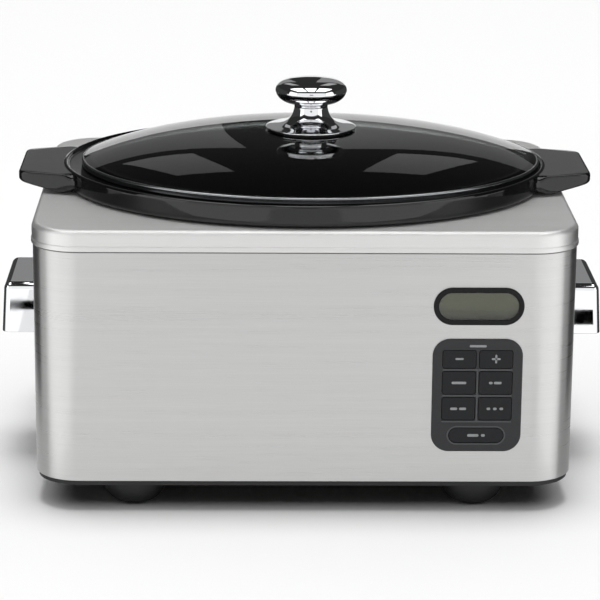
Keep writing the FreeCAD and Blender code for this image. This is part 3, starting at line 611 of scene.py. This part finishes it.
feetShape = {
    "recess": (3.1 * mm, 8.0 * mm),         # the screw's sink: radius, depth
    "ease": 0.4 * mm,                       # softening of the sink's mouth
    "shank": 1.7 * mm,
    "side": ((9.6, 0.0), (10.5, 0.35), (13.9, 2.0), (16.8, 4.4), (19.0, 7.6), (20.6, 11.2), (21.3, 14.6),
             (21.5, 17.5)),
}


def foot(node):
    low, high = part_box(node)
    centre = ((low.x + high.x) / 2, (low.y + high.y) / 2, low.z)
    (sink, deep), ease, shank = (feetShape[k] for k in ("recess", "ease", "shank"))
    side = [(r * mm, z * mm) for r, z in smoothLine(feetShape["side"], 4)]
    profile = [(shank, deep), (sink, deep), (sink, ease), (sink + ease, 0)] + side + [(shank, high.z - low.z)]
    piece = lathe(node.replace("_", " ").title().replace(" ", ""), profile, centre, closed=True)
    settle(piece, "housing", "black_rubber", [node], sharp=45)


glandShape = {
    "bore": 3.7 * mm,
    "body": 8.0 * mm,
    "flange": 11.5 * mm,
    "collar": 6.4 * mm,
    "proud": 1.6 * mm,              # how far it stands out behind
    "flangeThickness": 1.1 * mm,
    "thread": (9, 1.6 * mm, 0.35 * mm),       # turns for the nut, their pitch and depth
}


def cordGland():
    # flanged bush through the back, with a raised collar round its bore
    low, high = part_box("cord_gland")
    x, z = (low.x + high.x) / 2, (low.z + high.z) / 2
    bore, body, flange, collar, proud, thick = (
        glandShape[k] for k in ("bore", "body", "flange", "collar", "proud", "flangeThickness"))
    turns, pitch, deep = glandShape["thread"]
    length = high.y - low.y
    wall = length - proud
    profile = [(bore, 0.4 * mm), (bore + 0.4 * mm, 0), (body - 0.5 * mm, 0), (body, 0.5 * mm)]
    for i in range(turns):
        start = 1.2 * mm + i * pitch
        profile += [(body, start), (body - deep, start + 0.5 * mm), (body, start + 1.0 * mm)]
    profile += [(body, wall), (flange, wall), (flange, wall + thick - 0.5 * mm),
                (flange - 0.5 * mm, wall + thick), (collar + 0.6 * mm, wall + thick),
                (collar, length - 0.15 * mm), (collar - 0.4 * mm, length), (bore + 0.6 * mm, length),
                (bore, length - 0.6 * mm)]
    piece = lathe("cordGland", profile, (0, 0, 0), count=64, closed=True)
    piece.data.transform(Matrix.Translation((x, low.y, z)) @ Matrix.Rotation(math.radians(-90), 4, "X"))
    settle(piece, "housing", "black_base", ["cord_gland"], sharp=35)


panelShape = {
    "bezelRing": 2.6 * mm,
    "bezelLap": 0.9 * mm,           # how far its front edge reaches over the window
    "lip": 1.0 * mm,
    "lensEase": 0.15 * mm,
    "padRadius": 11.5 * mm,
    "padDepth": 4.0 * mm,           # how far its body reaches in behind the wrap's face
    "keyRadius": 1.5 * mm,
    "keyGap": 0.3 * mm,
    "keyFlange": (0.5 * mm, 1.0 * mm),        # how far it reaches out behind the pad, and its thickness
    "printDepth": 0.12 * mm,        # how far the printed marks stand above their keys
    "ridgeWidth": 1.0 * mm,
    "ridgeDepth": 0.2 * mm,
    "root": 0.1 * mm,               # how deep ridges and marks are set into the pad
    "title": (11.0 * mm, 1.5 * mm, 4.6 * mm), # width, height and place below the pad's top
}
postShape = {      # sleeves behind the pad for the board's screws
    "hole": 1.4 * mm,
    "outside": 3.0 * mm,
    "length": 9.7 * mm,
    "start": 1.3 * mm,              # behind the wrap's face
    "inset": (5.3 * mm, 4.2 * mm),  # from the pad's edges
    "ease": 0.3 * mm,
}
keyNodes = ["time_down_key", "time_up_key", "high_key", "low_key", "simmer_key", "warm_key", "power_key"]


def displayBezel():
    # glossy surround with a soft outer edge and an inner edge that slopes down to the window
    low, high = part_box("display_bezel")
    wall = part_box("housing_wrap")[0].y
    ring, lip, lap = panelShape["bezelRing"], panelShape["lip"], panelShape["bezelLap"]
    front = low.y
    profile = [(lip, high.y), (lip, wall), (0, wall), (0, front + 0.7 * mm), (0.2 * mm, front + 0.2 * mm),
               (0.7 * mm, front), (ring + lap - 0.8 * mm, front + 0.05 * mm),
               (ring + lap - 0.15 * mm, front + 0.2 * mm), (ring + lap, front + 0.4 * mm),
               (ring + lap - 0.1 * mm, front + 0.46 * mm), (ring, front + 0.47 * mm), (ring, high.y)]
    radius = (high.z - low.z) / 2 - hair
    settle(skin("displayBezel", frontRings(low, high, radius, profile), closed=True),
           "housing", "black_gloss", ["display_bezel"], sharp=50)


def displayLens():
    low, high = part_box("display_lens")
    ease = panelShape["lensEase"]
    profile = [(ease, high.y), (0, high.y - ease), (0, low.y + ease), (ease, low.y)]
    radius = (high.z - low.z) / 2 - hair
    settle(skin("displayLens", frontRings(low, high, radius, profile), capFirst=True, capLast=True),
           "housing", "lcd_window", ["display_lens"], sharp=60)


def displayGlass():
    # the liquid crystal cell fills the window's outline, with its drive edge hidden behind the bezel
    low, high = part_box("display_lens")
    panelLow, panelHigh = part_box("lcd_panel")
    profile = [(0, panelHigh.y), (0, panelLow.y + 0.1 * mm), (0.1 * mm, panelLow.y)]
    radius = (high.z - low.z) / 2 - hair
    settle(skin("liquidCrystalCell", frontRings(low, high, radius, profile), capFirst=True, capLast=True),
           "housing", "lcd_glass", ["lcd_panel"], sharp=50)


def keyRadius(low, high):
    # the long key has round ends, the others small corners
    long = (high.x - low.x) > 2 * (high.z - low.z)
    return (high.z - low.z) / 2 - hair if long else panelShape["keyRadius"]


def keyFace(node):
    # a key's cap without the flange behind it
    low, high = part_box(node)
    wide = panelShape["keyFlange"][0]
    flange = Vector((wide, 0, wide))
    return low + flange, high - flange


def keypadBezel():
    low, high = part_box("keypad_bezel")
    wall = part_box("housing_wrap")[0].y
    bodyBack = wall + panelShape["padDepth"]
    lip, radius, gap = (panelShape[k] for k in ("lip", "padRadius", "keyGap"))
    front = low.y
    profile = [(lip, bodyBack), (lip, wall), (0, wall), (0, front + 0.8 * mm), (0.1 * mm, front + 0.4 * mm),
               (0.35 * mm, front + 0.12 * mm), (0.8 * mm, front), (1.6 * mm, front)]
    piece = skin("keypadBezel", frontRings(low, high, radius, profile), capFirst=True, capLast=True)
    cutters = []
    for node in keyNodes:
        faceLow, faceHigh = keyFace(node)
        cutters.append(stadiumCutter(faceLow, faceHigh, keyRadius(faceLow, faceHigh), -gap,
                                     front - 2 * mm, bodyBack + 2 * mm))
    cutAway(piece, cutters)
    settle(piece, "housing", "charcoal_panel", ["keypad_bezel"], sharp=35)
    hole, outside, length, start, ease = (postShape[k] for k in ("hole", "outside", "length", "start", "ease"))
    sleeve = [(hole, 0), (outside, 0), (outside, length - ease), (outside - ease, length), (hole, length)]
    turn = Matrix.Rotation(math.radians(-90), 4, "X")
    for k, (x, z) in enumerate(screwPosts(low, high)):
        post = lathe("keypadPost%d" % (k + 1), sleeve, (0, 0, 0), count=32, closed=True)
        post.data.transform(Matrix.Translation((x, wall + start, z)) @ turn)
        settle(post, "housing", "charcoal_panel")


def screwPosts(low, high):
    # one near each corner of the pad
    x, z = (low.x + high.x) / 2, (low.z + high.z) / 2
    dx, dz = (high.x - low.x) / 2 - postShape["inset"][0], (high.z - low.z) / 2 - postShape["inset"][1]
    return [(x + sx * dx, z + sz * dz) for sx in (-1, 1) for sz in (-1, 1)]


def key(node):
    # a cap with softened edges on a thin flange; its mark is printed a touch proud of it
    low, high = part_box(node)
    faceLow, faceHigh = keyFace(node)
    radius, (flange, thick) = keyRadius(faceLow, faceHigh), panelShape["keyFlange"]
    front = low.y + panelShape["printDepth"]
    flangeFront = high.y - thick
    profile = [(-flange, high.y), (-flange, flangeFront), (0, flangeFront), (0, front + 0.5 * mm),
               (0.08 * mm, front + 0.2 * mm), (0.25 * mm, front + 0.05 * mm), (0.55 * mm, front),
               (1.2 * mm, front)]
    rings = frontRings(faceLow, faceHigh, radius, profile, perCorner=10, perFlat=1, guard=0.3 * mm)
    name = node.split("_")
    settle(skin(name[0] + "".join(w.title() for w in name[1:]), rings, capFirst=True, capLast=True),
           node, "charcoal_key", [node], sharp=45)


def bar(name, x, z, width, height, yBack, yFront, body, slot, finish):
    # a thin round-ended bar on the front panel
    half = Vector((width / 2, 0, height / 2))
    centre = Vector((x, 0, z))
    radius = min(width, height) / 2 - hair
    ease = 0.03 * mm
    profile = [(0, yBack), (0, yFront + ease), (ease, yFront)]
    rings = frontRings(centre - half, centre + half, radius, profile, perCorner=6, perFlat=1, guard=0.2 * mm)
    settle(skin(name, rings, capFirst=True, capLast=True), body, slot, finish=finish, sharp=60)


marks = {      # for each key, its bars as (x, z, width, height) from the key's middle, in mm
    "time_down_key": ((0, 0.3, 5.4, 1.3),),
    "time_up_key": ((0, 0.3, 5.8, 1.3), (0, 0.3, 1.3, 5.8)),
    "high_key": ((0, 0, 9.6, 1.7),),
    "low_key": ((-3.1, 0, 2.4, 1.7), (1.4, 0, 5.0, 1.7)),
    "simmer_key": ((-3.0, 0, 4.6, 1.7), (2.8, 0, 4.6, 1.7)),
    "warm_key": ((-4.2, 0, 2.4, 1.7), (0, 0, 2.4, 1.7), (4.2, 0, 2.4, 1.7)),
    "power_key": ((-2.0, 0, 7.4, 1.8), (4.6, 0, 2.6, 1.8)),
}


def keyMarks():
    for node, bars in marks.items():
        low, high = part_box(node)
        x0, z0 = (low.x + high.x) / 2, (low.z + high.z) / 2
        back = low.y + panelShape["printDepth"] + 0.03 * mm
        for k, (x, z, w, h) in enumerate(bars):
            name = "%sMark%d" % (node.replace("_key", "").replace("_", ""), k + 1)
            bar(name, x0 + x * mm, z0 + z * mm, w * mm, h * mm, back, low.y, node, "charcoal_key", "pale_print")


def panelRidges():
    # thin moulded ridges between the keys, and one round the long key
    padLow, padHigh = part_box("keypad_bezel")
    front = padLow.y
    w, deep, root, gap = (panelShape[k] for k in ("ridgeWidth", "ridgeDepth", "root", "keyGap"))
    keys = {node: keyFace(node) for node in keyNodes}
    left, right = keys["high_key"][0].x, keys["low_key"][1].x
    middle, span = (left + right) / 2, right - left
    levels = [(keys["time_down_key"][0].z + keys["high_key"][1].z) / 2,
              (keys["high_key"][0].z + keys["simmer_key"][1].z) / 2]
    low = keys["simmer_key"][0].z - (keys["high_key"][0].z - keys["simmer_key"][1].z) / 2
    for k, z in enumerate(levels + [low]):
        bar("rowRidge%d" % (k + 1), middle, z, span, w, front + root, front - deep,
            "housing", "charcoal_panel", "grid_line")
    height = levels[0] - low - w
    bar("columnRidge", middle, (levels[0] + low) / 2, w, height, front + root, front - deep + 0.02 * mm,
        "housing", "charcoal_panel", "grid_line")
    faceLow, faceHigh = keys["power_key"]
    radius = keyRadius(faceLow, faceHigh)
    profile = [(-gap, front + root), (-gap, front - deep), (-gap - w, front - deep), (-gap - w, front + root)]
    settle(skin("pillRidge", frontRings(faceLow, faceHigh, radius, profile), closed=True),
           "housing", "charcoal_panel", finish="grid_line", sharp=50)
    width, height, drop = panelShape["title"]
    bar("titleMark", middle, padHigh.z - drop, width, height, front + root, front - 0.06 * mm,
        "housing", "charcoal_panel", "pale_print")


crockShape = {
    "lugReach": 29.1 * mm,          # how far a lug's tip stands out from the rim
    "rimHeight": 15.3 * mm,
    "rimLap": 11.1 * mm,            # how far the rim overlaps the deck
    "lugTop": 1.2 * mm,             # below the rim's crest
    "lugThickness": (12.6 * mm, 7.0 * mm),     # at its root and at its tip
    "lugHalfWidth": (48.0 * mm, 36.0 * mm),
    "lugCorner": 3.4 * mm,          # how much the tip's corners are eased
    "lugBlend": 1.6 * mm,           # fillet where a lug leaves the rim
    "lugEase": 9.0 * mm,            # length over which the rim's height turns into the lug's
    "lugFlat": 14.0 * mm,           # how far from its root a lug starts to thin
    "wall": 4.6 * mm,               # where the lugs leave the rim, up from its foot
    "floor": 8.0 * mm,
    "edge": 1.7 * mm,
    "underEdge": 2.3 * mm,
    # the pot's own lines, as (mm in from the rim's outside, mm up from its foot, rim foot, crest or floor)
    "footRing": ((42.7, 1.0), (41.6, 0.8), (41.1, 0.1), (40.5, 0), (31.7, 0)),
    "outside": ((29.7, 0.15), (26.2, 1.6), (21.2, 5.8), (17.7, 12.0), (16.1, 20.0), (14.9, 70.0),
                (13.6, 140.0)),
    "rimFoot": ((13.6, -2.2), (13.8, -0.9), (12.9, -0.2), (11.5, 0), (4.4, 0), (2.9, 0.3), (1.6, 1.1),
                (0.6, 2.4), (0.1, 3.6)),
    "ridge": ((0.05, -0.95), (0.3, -0.55), (0.75, -0.16), (1.3, 0.0), (1.85, -0.14), (2.3, -0.5), (2.55, -1.0),
              (2.7, -1.8), (3.1, -2.4), (3.8, -2.6), (15.3, -2.6), (16.6, -2.75), (17.9, -3.3), (19.1, -4.4),
              (20.0, -6.2), (20.6, -9.0)),
    "inside": ((22.1, 60.0), (23.3, 22.0), (25.1, 12.0), (29.2, 5.0), (35.7, 1.2), (44.7, 0.0)),
}


def polarOval(a, b, turn):
    return a * b / math.hypot(b * math.cos(turn), a * math.sin(turn))


def crock():
    low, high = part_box("crock")
    shape = crockShape
    middle, tip = (low.x + high.x) / 2, (high.x - low.x) / 2
    rimB, crest, foot = high.y, high.z, low.z
    rimA = tip - shape["lugReach"]
    rootHalf, tipHalf = shape["lugHalfWidth"]
    rootT, tipT = shape["lugThickness"]
    rootX = rimA - shape["rimLap"]
    lean = (rootHalf - tipHalf) / (tip - rootX)
    ease, blend, lugEase = shape["lugCorner"], shape["lugBlend"], shape["lugEase"]
    thinFrom = rootX + shape["lugFlat"]
    lugTop = crest - shape["lugTop"]
    rimFoot = crest - shape["rimHeight"]

    # turns round the pot, closer together over the lugs
    quarter = [math.radians(22 * i / 52) for i in range(52)]
    quarter += [math.radians(22 + 68 * i / 38) for i in range(39)]
    turns = quarter + [math.pi - t for t in quarter[-2::-1]]
    turns += [math.pi + t for t in turns[1:-1]]

    def lugEdge(turn):
        # distance out to the lug's outline, smoothly joined to the rim
        c, s = abs(math.cos(turn)), abs(math.sin(turn))
        end = tip / max(c, 1e-6)
        flank = (rootHalf + lean * rootX) / (s + lean * c)
        lug = min(end, flank) - ease * math.log1p(math.exp(-abs(end - flank) / ease))
        rim = polarOval(rimA, rimB, turn)
        gap = max(-40.0, min(40.0, (lug - rim) / blend))
        return rim + blend * math.log1p(math.exp(gap)) if gap < 30 else lug

    def oval(inset, z):
        return [(polarOval(rimA - inset, rimB - inset, t), z) for t in turns]

    def lugRing(share, inset, wallZ, rise=None, drop=0.0):
        # share of the way out along the lug, then inset from its edge; its height is a rise from the lug's
        # underside, or else a drop from its top
        ring = []
        for t in turns:
            rim, out = polarOval(rimA, rimB, t), lugEdge(t)
            reach = out - rim
            weight = min(reach / lugEase, 1.0)
            weight = weight * weight * (3 - 2 * weight)
            r = rim + share * reach - inset * weight
            across = (r * abs(math.cos(t)) - thinFrom) / (tip - thinFrom)
            under = lugTop - rootT + (rootT - tipT) * min(max(across, 0.0), 1.0)
            z = lugTop - drop if rise is None else under + rise
            ring.append((r, wallZ + (z - wallZ) * weight))
        return ring

    rings = [oval(i * mm, foot + z * mm) for i, z in list(shape["footRing"]) + smoothLine(shape["outside"], 6)]
    rings += [oval(i * mm, rimFoot + z * mm) for i, z in shape["rimFoot"]]
    under, edge = shape["underEdge"], shape["edge"]
    wall = rimFoot + shape["wall"]
    rings += [lugRing(0.0, -0.4 * mm, wall, 0.0), lugRing(0.4, 0, wall + 0.6 * mm, 0.0),
              lugRing(0.75, 0, wall + 1.2 * mm, 0.0)]
    quarterTurn = [math.radians(18 * k) for k in range(6)]
    for k, a in enumerate(quarterTurn):
        rings.append(lugRing(1.0, under * (1 - math.sin(a)), wall + (1.8 + 0.3 * k) * mm,
                             under * (1 - math.cos(a))))
    for k, a in enumerate(quarterTurn):
        rings.append(lugRing(1.0, edge * (1 - math.cos(a)), wall + (4.0 + 0.25 * k) * mm,
                             drop=edge * (1 - math.sin(a))))
    rings += [lugRing(share, -inset * mm, crest - down * mm)
              for share, inset, down in ((0.7, 0, 4.0), (0.3, 0, 3.4), (0.0, 1.1, 2.8), (0.0, 0.4, 2.2))]
    rings += [oval(i * mm, crest + z * mm) for i, z in shape["ridge"]]
    floor = foot + shape["floor"]
    last, drop = shape["ridge"][-1]
    inside = smoothLine([(last, drop + (crest - floor) / mm)] + list(shape["inside"]), 6)[1:]
    rings += [oval(i * mm, floor + z * mm) for i, z in inside]
    rings = [[(middle + r * math.cos(t), r * math.sin(t), z) for (r, z), t in zip(ring, turns)]
             for ring in rings]
    settle(skin("crockPot", rings, capFirst=True, capLast=True), "crock", "black_glaze", ["crock"],
           sharp=60, weighted=False)


lidShape = {
    "around": 192,
    "glass": 4.0 * mm,
    "rise": 20.0 * mm,
    "flat": 0.2,                   # share of the dome that is flat in its middle
    "hole": 4.0 * mm,
    "neck": 12.0 * mm,             # how far out from the middle its flat is joined
    "edge": 0.9 * mm,              # softening of its ground edge
    "band": (5.0 * mm, 4.5 * mm),  # its width and height
    "bandFoot": 0.9 * mm,          # radius under its outer edge
    "bandTop": 1.3 * mm,           # radius over it
    "bandSheet": 0.47 * mm,
}


def glassLid():
    low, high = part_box("glass_lid")
    shape, around = lidShape, lidShape["around"]
    x = (low.x + high.x) / 2
    a, b = (high.x - low.x) / 2, (high.y - low.y) / 2
    rise, glass = shape["rise"], shape["glass"]
    domeFoot = high.z - rise * (1 - shape["flat"] ** 3)

    def domeRing(share, inset, drop):
        z = domeFoot + rise * (1 - max(share, shape["flat"]) ** 3) - drop
        return ovalRing((a - inset) * share, (b - inset) * share, z, around, x)

    shares = [1 - 0.8 * (i / 26) ** 1.4 for i in range(27)]
    outer = [domeRing(s, 0, 0) for s in shares]
    inner = [domeRing(s * 0.985, 6.0 * mm, glass) for s in shares]
    hole, neck, ease = shape["hole"], shape["neck"], shape["edge"]
    neckTop = [ovalRing(r, r, high.z, around, x) for r in (neck, hole)]
    neckLow = [ovalRing(r, r, high.z - glass, around, x) for r in (hole, neck)]
    foot = [ovalRing(a - 7.3 * mm, b - 7.3 * mm, low.z + 0.25 * mm, around, x),
            ovalRing(a - 6.6 * mm, b - 6.6 * mm, low.z, around, x),
            ovalRing(a - ease, b - ease, low.z, around, x),
            ovalRing(a - 0.25 * mm, b - 0.25 * mm, low.z + 0.25 * mm, around, x),
            ovalRing(a, b, low.z + ease, around, x)]
    rings = neckLow + inner[::-1] + foot + outer + neckTop
    settle(skin("domedGlass", rings, closed=True), "lid", "lid_glass", ["glass_lid"], sharp=50, weighted=False)


def lidBand():
    # thin steel channel rolled round the glass's edge
    low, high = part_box("lid_band")
    x = (low.x + high.x) / 2
    a, b = (high.x - low.x) / 2, (high.y - low.y) / 2
    width, height = lidShape["band"]
    foot, gap = low.z, lidShape["bandSheet"]
    under, over = lidShape["bandFoot"], lidShape["bandTop"]
    turns = [math.radians(15 * i) for i in range(7)]
    section = [(width, 0), (under, 0)]
    section += [(under - under * math.sin(t), under - under * math.cos(t)) for t in turns[1:]]
    section += [(over - over * math.cos(t), height - over + over * math.sin(t)) for t in turns]
    section += [(1.9 * mm, height - 0.1 * mm), (2.2 * mm, height - 0.35 * mm), (1.6 * mm, height - 0.45 * mm),
                (gap, height - 0.9 * mm), (gap, gap), (width, gap)]
    rings = [ovalRing(a - i, b - i, foot + z, lidShape["around"], x) for i, z in section]
    settle(skin("rolledBand", rings, closed=True), "lid", "rim_steel", ["lid_band"], sharp=45)


knobShape = {      # (radius, height) in mm, each from its own foot
    "base": ((2.5, 0), (29.6, 0), (30.5, 0.25), (30.8, 0.75), (30.3, 1.25), (27.0, 1.8), (22.6, 2.6),
             (18.6, 3.9), (15.6, 5.9), (13.4, 8.6), (12.1, 11.6), (11.5, 14.4), (11.8, 16.0), (12.6, 17.0)),
    "cap": ((0.0, 0), (12.0, 0.0), (15.2, 0.5), (19.4, 2.1), (22.8, 4.8), (24.4, 7.9), (24.5, 10.2),
            (23.4, 12.6), (20.6, 14.7), (16.0, 16.1), (9.6, 16.9), (3.5, 17.2), (0.0, 17.2)),
}


def knob():
    low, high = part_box("knob_base")
    centre = ((low.x + high.x) / 2, (low.y + high.y) / 2, low.z)
    base = smoothLine(knobShape["base"][2:], 5)
    profile = [(r * mm, z * mm) for r, z in list(knobShape["base"][:2]) + base]
    settle(lathe("knobStem", [(0.0, 0.0)] + profile + [(0.0, high.z - low.z)], centre), "lid", "chrome",
           ["knob_base"], sharp=50)
    low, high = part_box("knob_cap")
    profile = [(r * mm, min(z * mm, high.z - low.z)) for r, z in smoothLine(knobShape["cap"], 5)]
    settle(lathe("knobCap", profile, (centre[0], centre[1], low.z)), "lid", "chrome", ["knob_cap"], sharp=50)


steelWrap()
topDeck()
sideHandle(-1, "left_handle")
sideHandle(1, "right_handle")
for node in ("front_left_foot", "front_right_foot", "rear_left_foot", "rear_right_foot"):
    foot(node)
cordGland()
print("housing made")
displayBezel()
displayLens()
displayGlass()
keypadBezel()
for node in keyNodes:
    key(node)
keyMarks()
panelRidges()
print("front panel made")
crock()
glassLid()
lidBand()
knob()
print("crock and lid made")

stageSet = {
    "floor": "#f3f3f3",
    "room": 0.03,          # brightness of the unlit room, seen only in reflections
    "backdrop": 0.95,      # brightness of the far backdrop to the camera
    "sun": 1.6,            # strength of the soft light from overhead, which no metal mirrors
    "sunSpread": 24.0,     # degrees; more gives a softer shadow
    "sunLean": 3.5,        # degrees that it leans in from behind
    "fill": 220.0,         # watts from a wide panel above, which lightens the shadows
    "fillSize": 9.0,
    "lampPlace": (0, 0.5, 3.5),
    "side": 14.0,          # half the floor
}
cards = {      # (middle, width, height, brightness): upright panels that show only in what mirrors them
    "sweepBack": ((0, 3.0, 0.31), 9.0, 0.62, 0.95),
    "bandBackLeft": ((-0.72, 3.0, 1.1), 1.14, 0.94, 0.27),
    "bandBackRight": ((0.72, 3.0, 1.1), 1.14, 0.94, 0.27),
    "boxBackLeft": ((-0.7, 3.0, 2.45), 0.5, 1.3, 0.45),
    "boxBackRight": ((0.7, 3.0, 2.45), 0.5, 1.3, 0.45),
    "panelFront": ((0, -3.0, 1.1), 7.6, 2.2, 1.1),
    "panelLeft": ((-2.3, -1.3, 0.7), 1.4, 1.8, 1.6),
    "panelRight": ((2.3, -1.3, 0.7), 1.4, 1.8, 1.6),
    "flagLeft": ((-0.36, 0.5, 0.2), 1.1, 0.4, 0.05),
    "flagRight": ((0.36, 0.5, 0.2), 1.1, 0.4, 0.05),
    "flagCamera": ((0, -2.6, 0.75), 0.5, 0.4, 0.05),
}
flatCards = {      # the same, but level
    "panelTop": ((0, -0.5, 3.4), 0.92, 2.8, 2.6),
    "panelTopLeft": ((-1.6, -0.5, 3.4), 1.84, 2.8, 2.6),
    "panelTopRight": ((1.6, -0.5, 3.4), 1.84, 2.8, 2.6),
    "glowLeft": ((-1.11, -0.9, 0.001), 1.776, 1.46, 1.35),
    "glowRight": ((1.11, -0.9, 0.001), 1.776, 1.46, 1.35),
    "shadeLeft": ((-0.8, 0.38, 0.001), 1.2, 1.04, 0.6),
    "shadeRight": ((0.8, 0.38, 0.001), 1.2, 1.04, 0.4),
    "barLeft": ((-0.235, -0.4245, 0.002), 0.09, 0.033, 0.0),
    "barRight": ((0.235, -0.387, 0.002), 0.09, 0.052, 0.0),
}


def emitter(name, strength):
    material = bpy.data.materials.new(name)
    material.use_nodes = True
    tree = material.node_tree
    tree.nodes.clear()
    put(tree, "OutputMaterial", Surface=put(tree, "Emission", {"Strength": strength}))
    return material


def card(name, centre, width, height, strength, aim):
    # a flat panel whose front looks along aim
    points = [(-width / 2, -height / 2, 0), (width / 2, -height / 2, 0), (width / 2, height / 2, 0),
              (-width / 2, height / 2, 0)]
    panel = makePiece(name, points, [(0, 1, 2, 3)])
    panel.matrix_world = Matrix.Translation(centre) @ Vector(aim).to_track_quat("Z", "Y").to_matrix().to_4x4()
    panel.data.materials.append(emitter(name + " face", strength))
    panel.visible_camera = panel.visible_diffuse = panel.visible_transmission = panel.visible_shadow = False


def makeFloor():
    # Paper backdrop, matt: even and pale, with no gloss.
    side = stageSet["side"]
    floor = makePiece("floor", [(-side, -side, 0), (side, -side, 0), (side, side, 0), (-side, side, 0)],
                      [(0, 1, 2, 3)])
    floor.data.materials.append(newMaterial("paper backdrop matt", Base_Color=hexColor(stageSet["floor"]),
                                            Roughness=0.95, Specular_IOR_Level=0.1)[0])


def makeLight():
    world = bpy.data.worlds.new("room")
    scene.world = world
    world.use_nodes = True
    tree = world.node_tree
    back = tree.nodes["Background"]
    # the camera sees a bright backdrop where metal mirrors a dim room
    put(tree, "MapRange", {"To Min": stageSet["room"], "To Max": stageSet["backdrop"]}, back.inputs["Strength"],
        Value=put(tree, "LightPath").outputs["Is Camera Ray"])
    back.inputs["Color"].default_value = (1, 1, 1, 1)
    sun = bpy.data.lights.new("sun", "SUN")
    sun.energy = stageSet["sun"]
    sun.angle = math.radians(stageSet["sunSpread"])
    fill = bpy.data.lights.new("fill", "AREA")
    fill.shape = "SQUARE"
    fill.size = stageSet["fillSize"]
    fill.energy = stageSet["fill"]
    for data in (sun, fill):
        light = bpy.data.objects.new(data.name, data)
        scene.collection.objects.link(light)
        light.location = stageSet["lampPlace"]
        light.visible_glossy = light.visible_camera = light.visible_transmission = False
        if data == sun:
            light.rotation_euler = (-math.radians(stageSet["sunLean"]), 0, 0)
    for name, (centre, width, height, strength) in cards.items():
        sideways = abs(centre[0]) > abs(centre[1]) or abs(centre[1]) < 1      # the nearer wall
        aim = (-centre[0], 0, 0) if sideways else (0, -centre[1], 0)
        card(name, centre, width, height, strength, aim)
    for name, (centre, width, height, strength) in flatCards.items():
        card(name, centre, width, height, strength, (0, 0, 1))


makeFloor()
makeLight()
print("stage made")
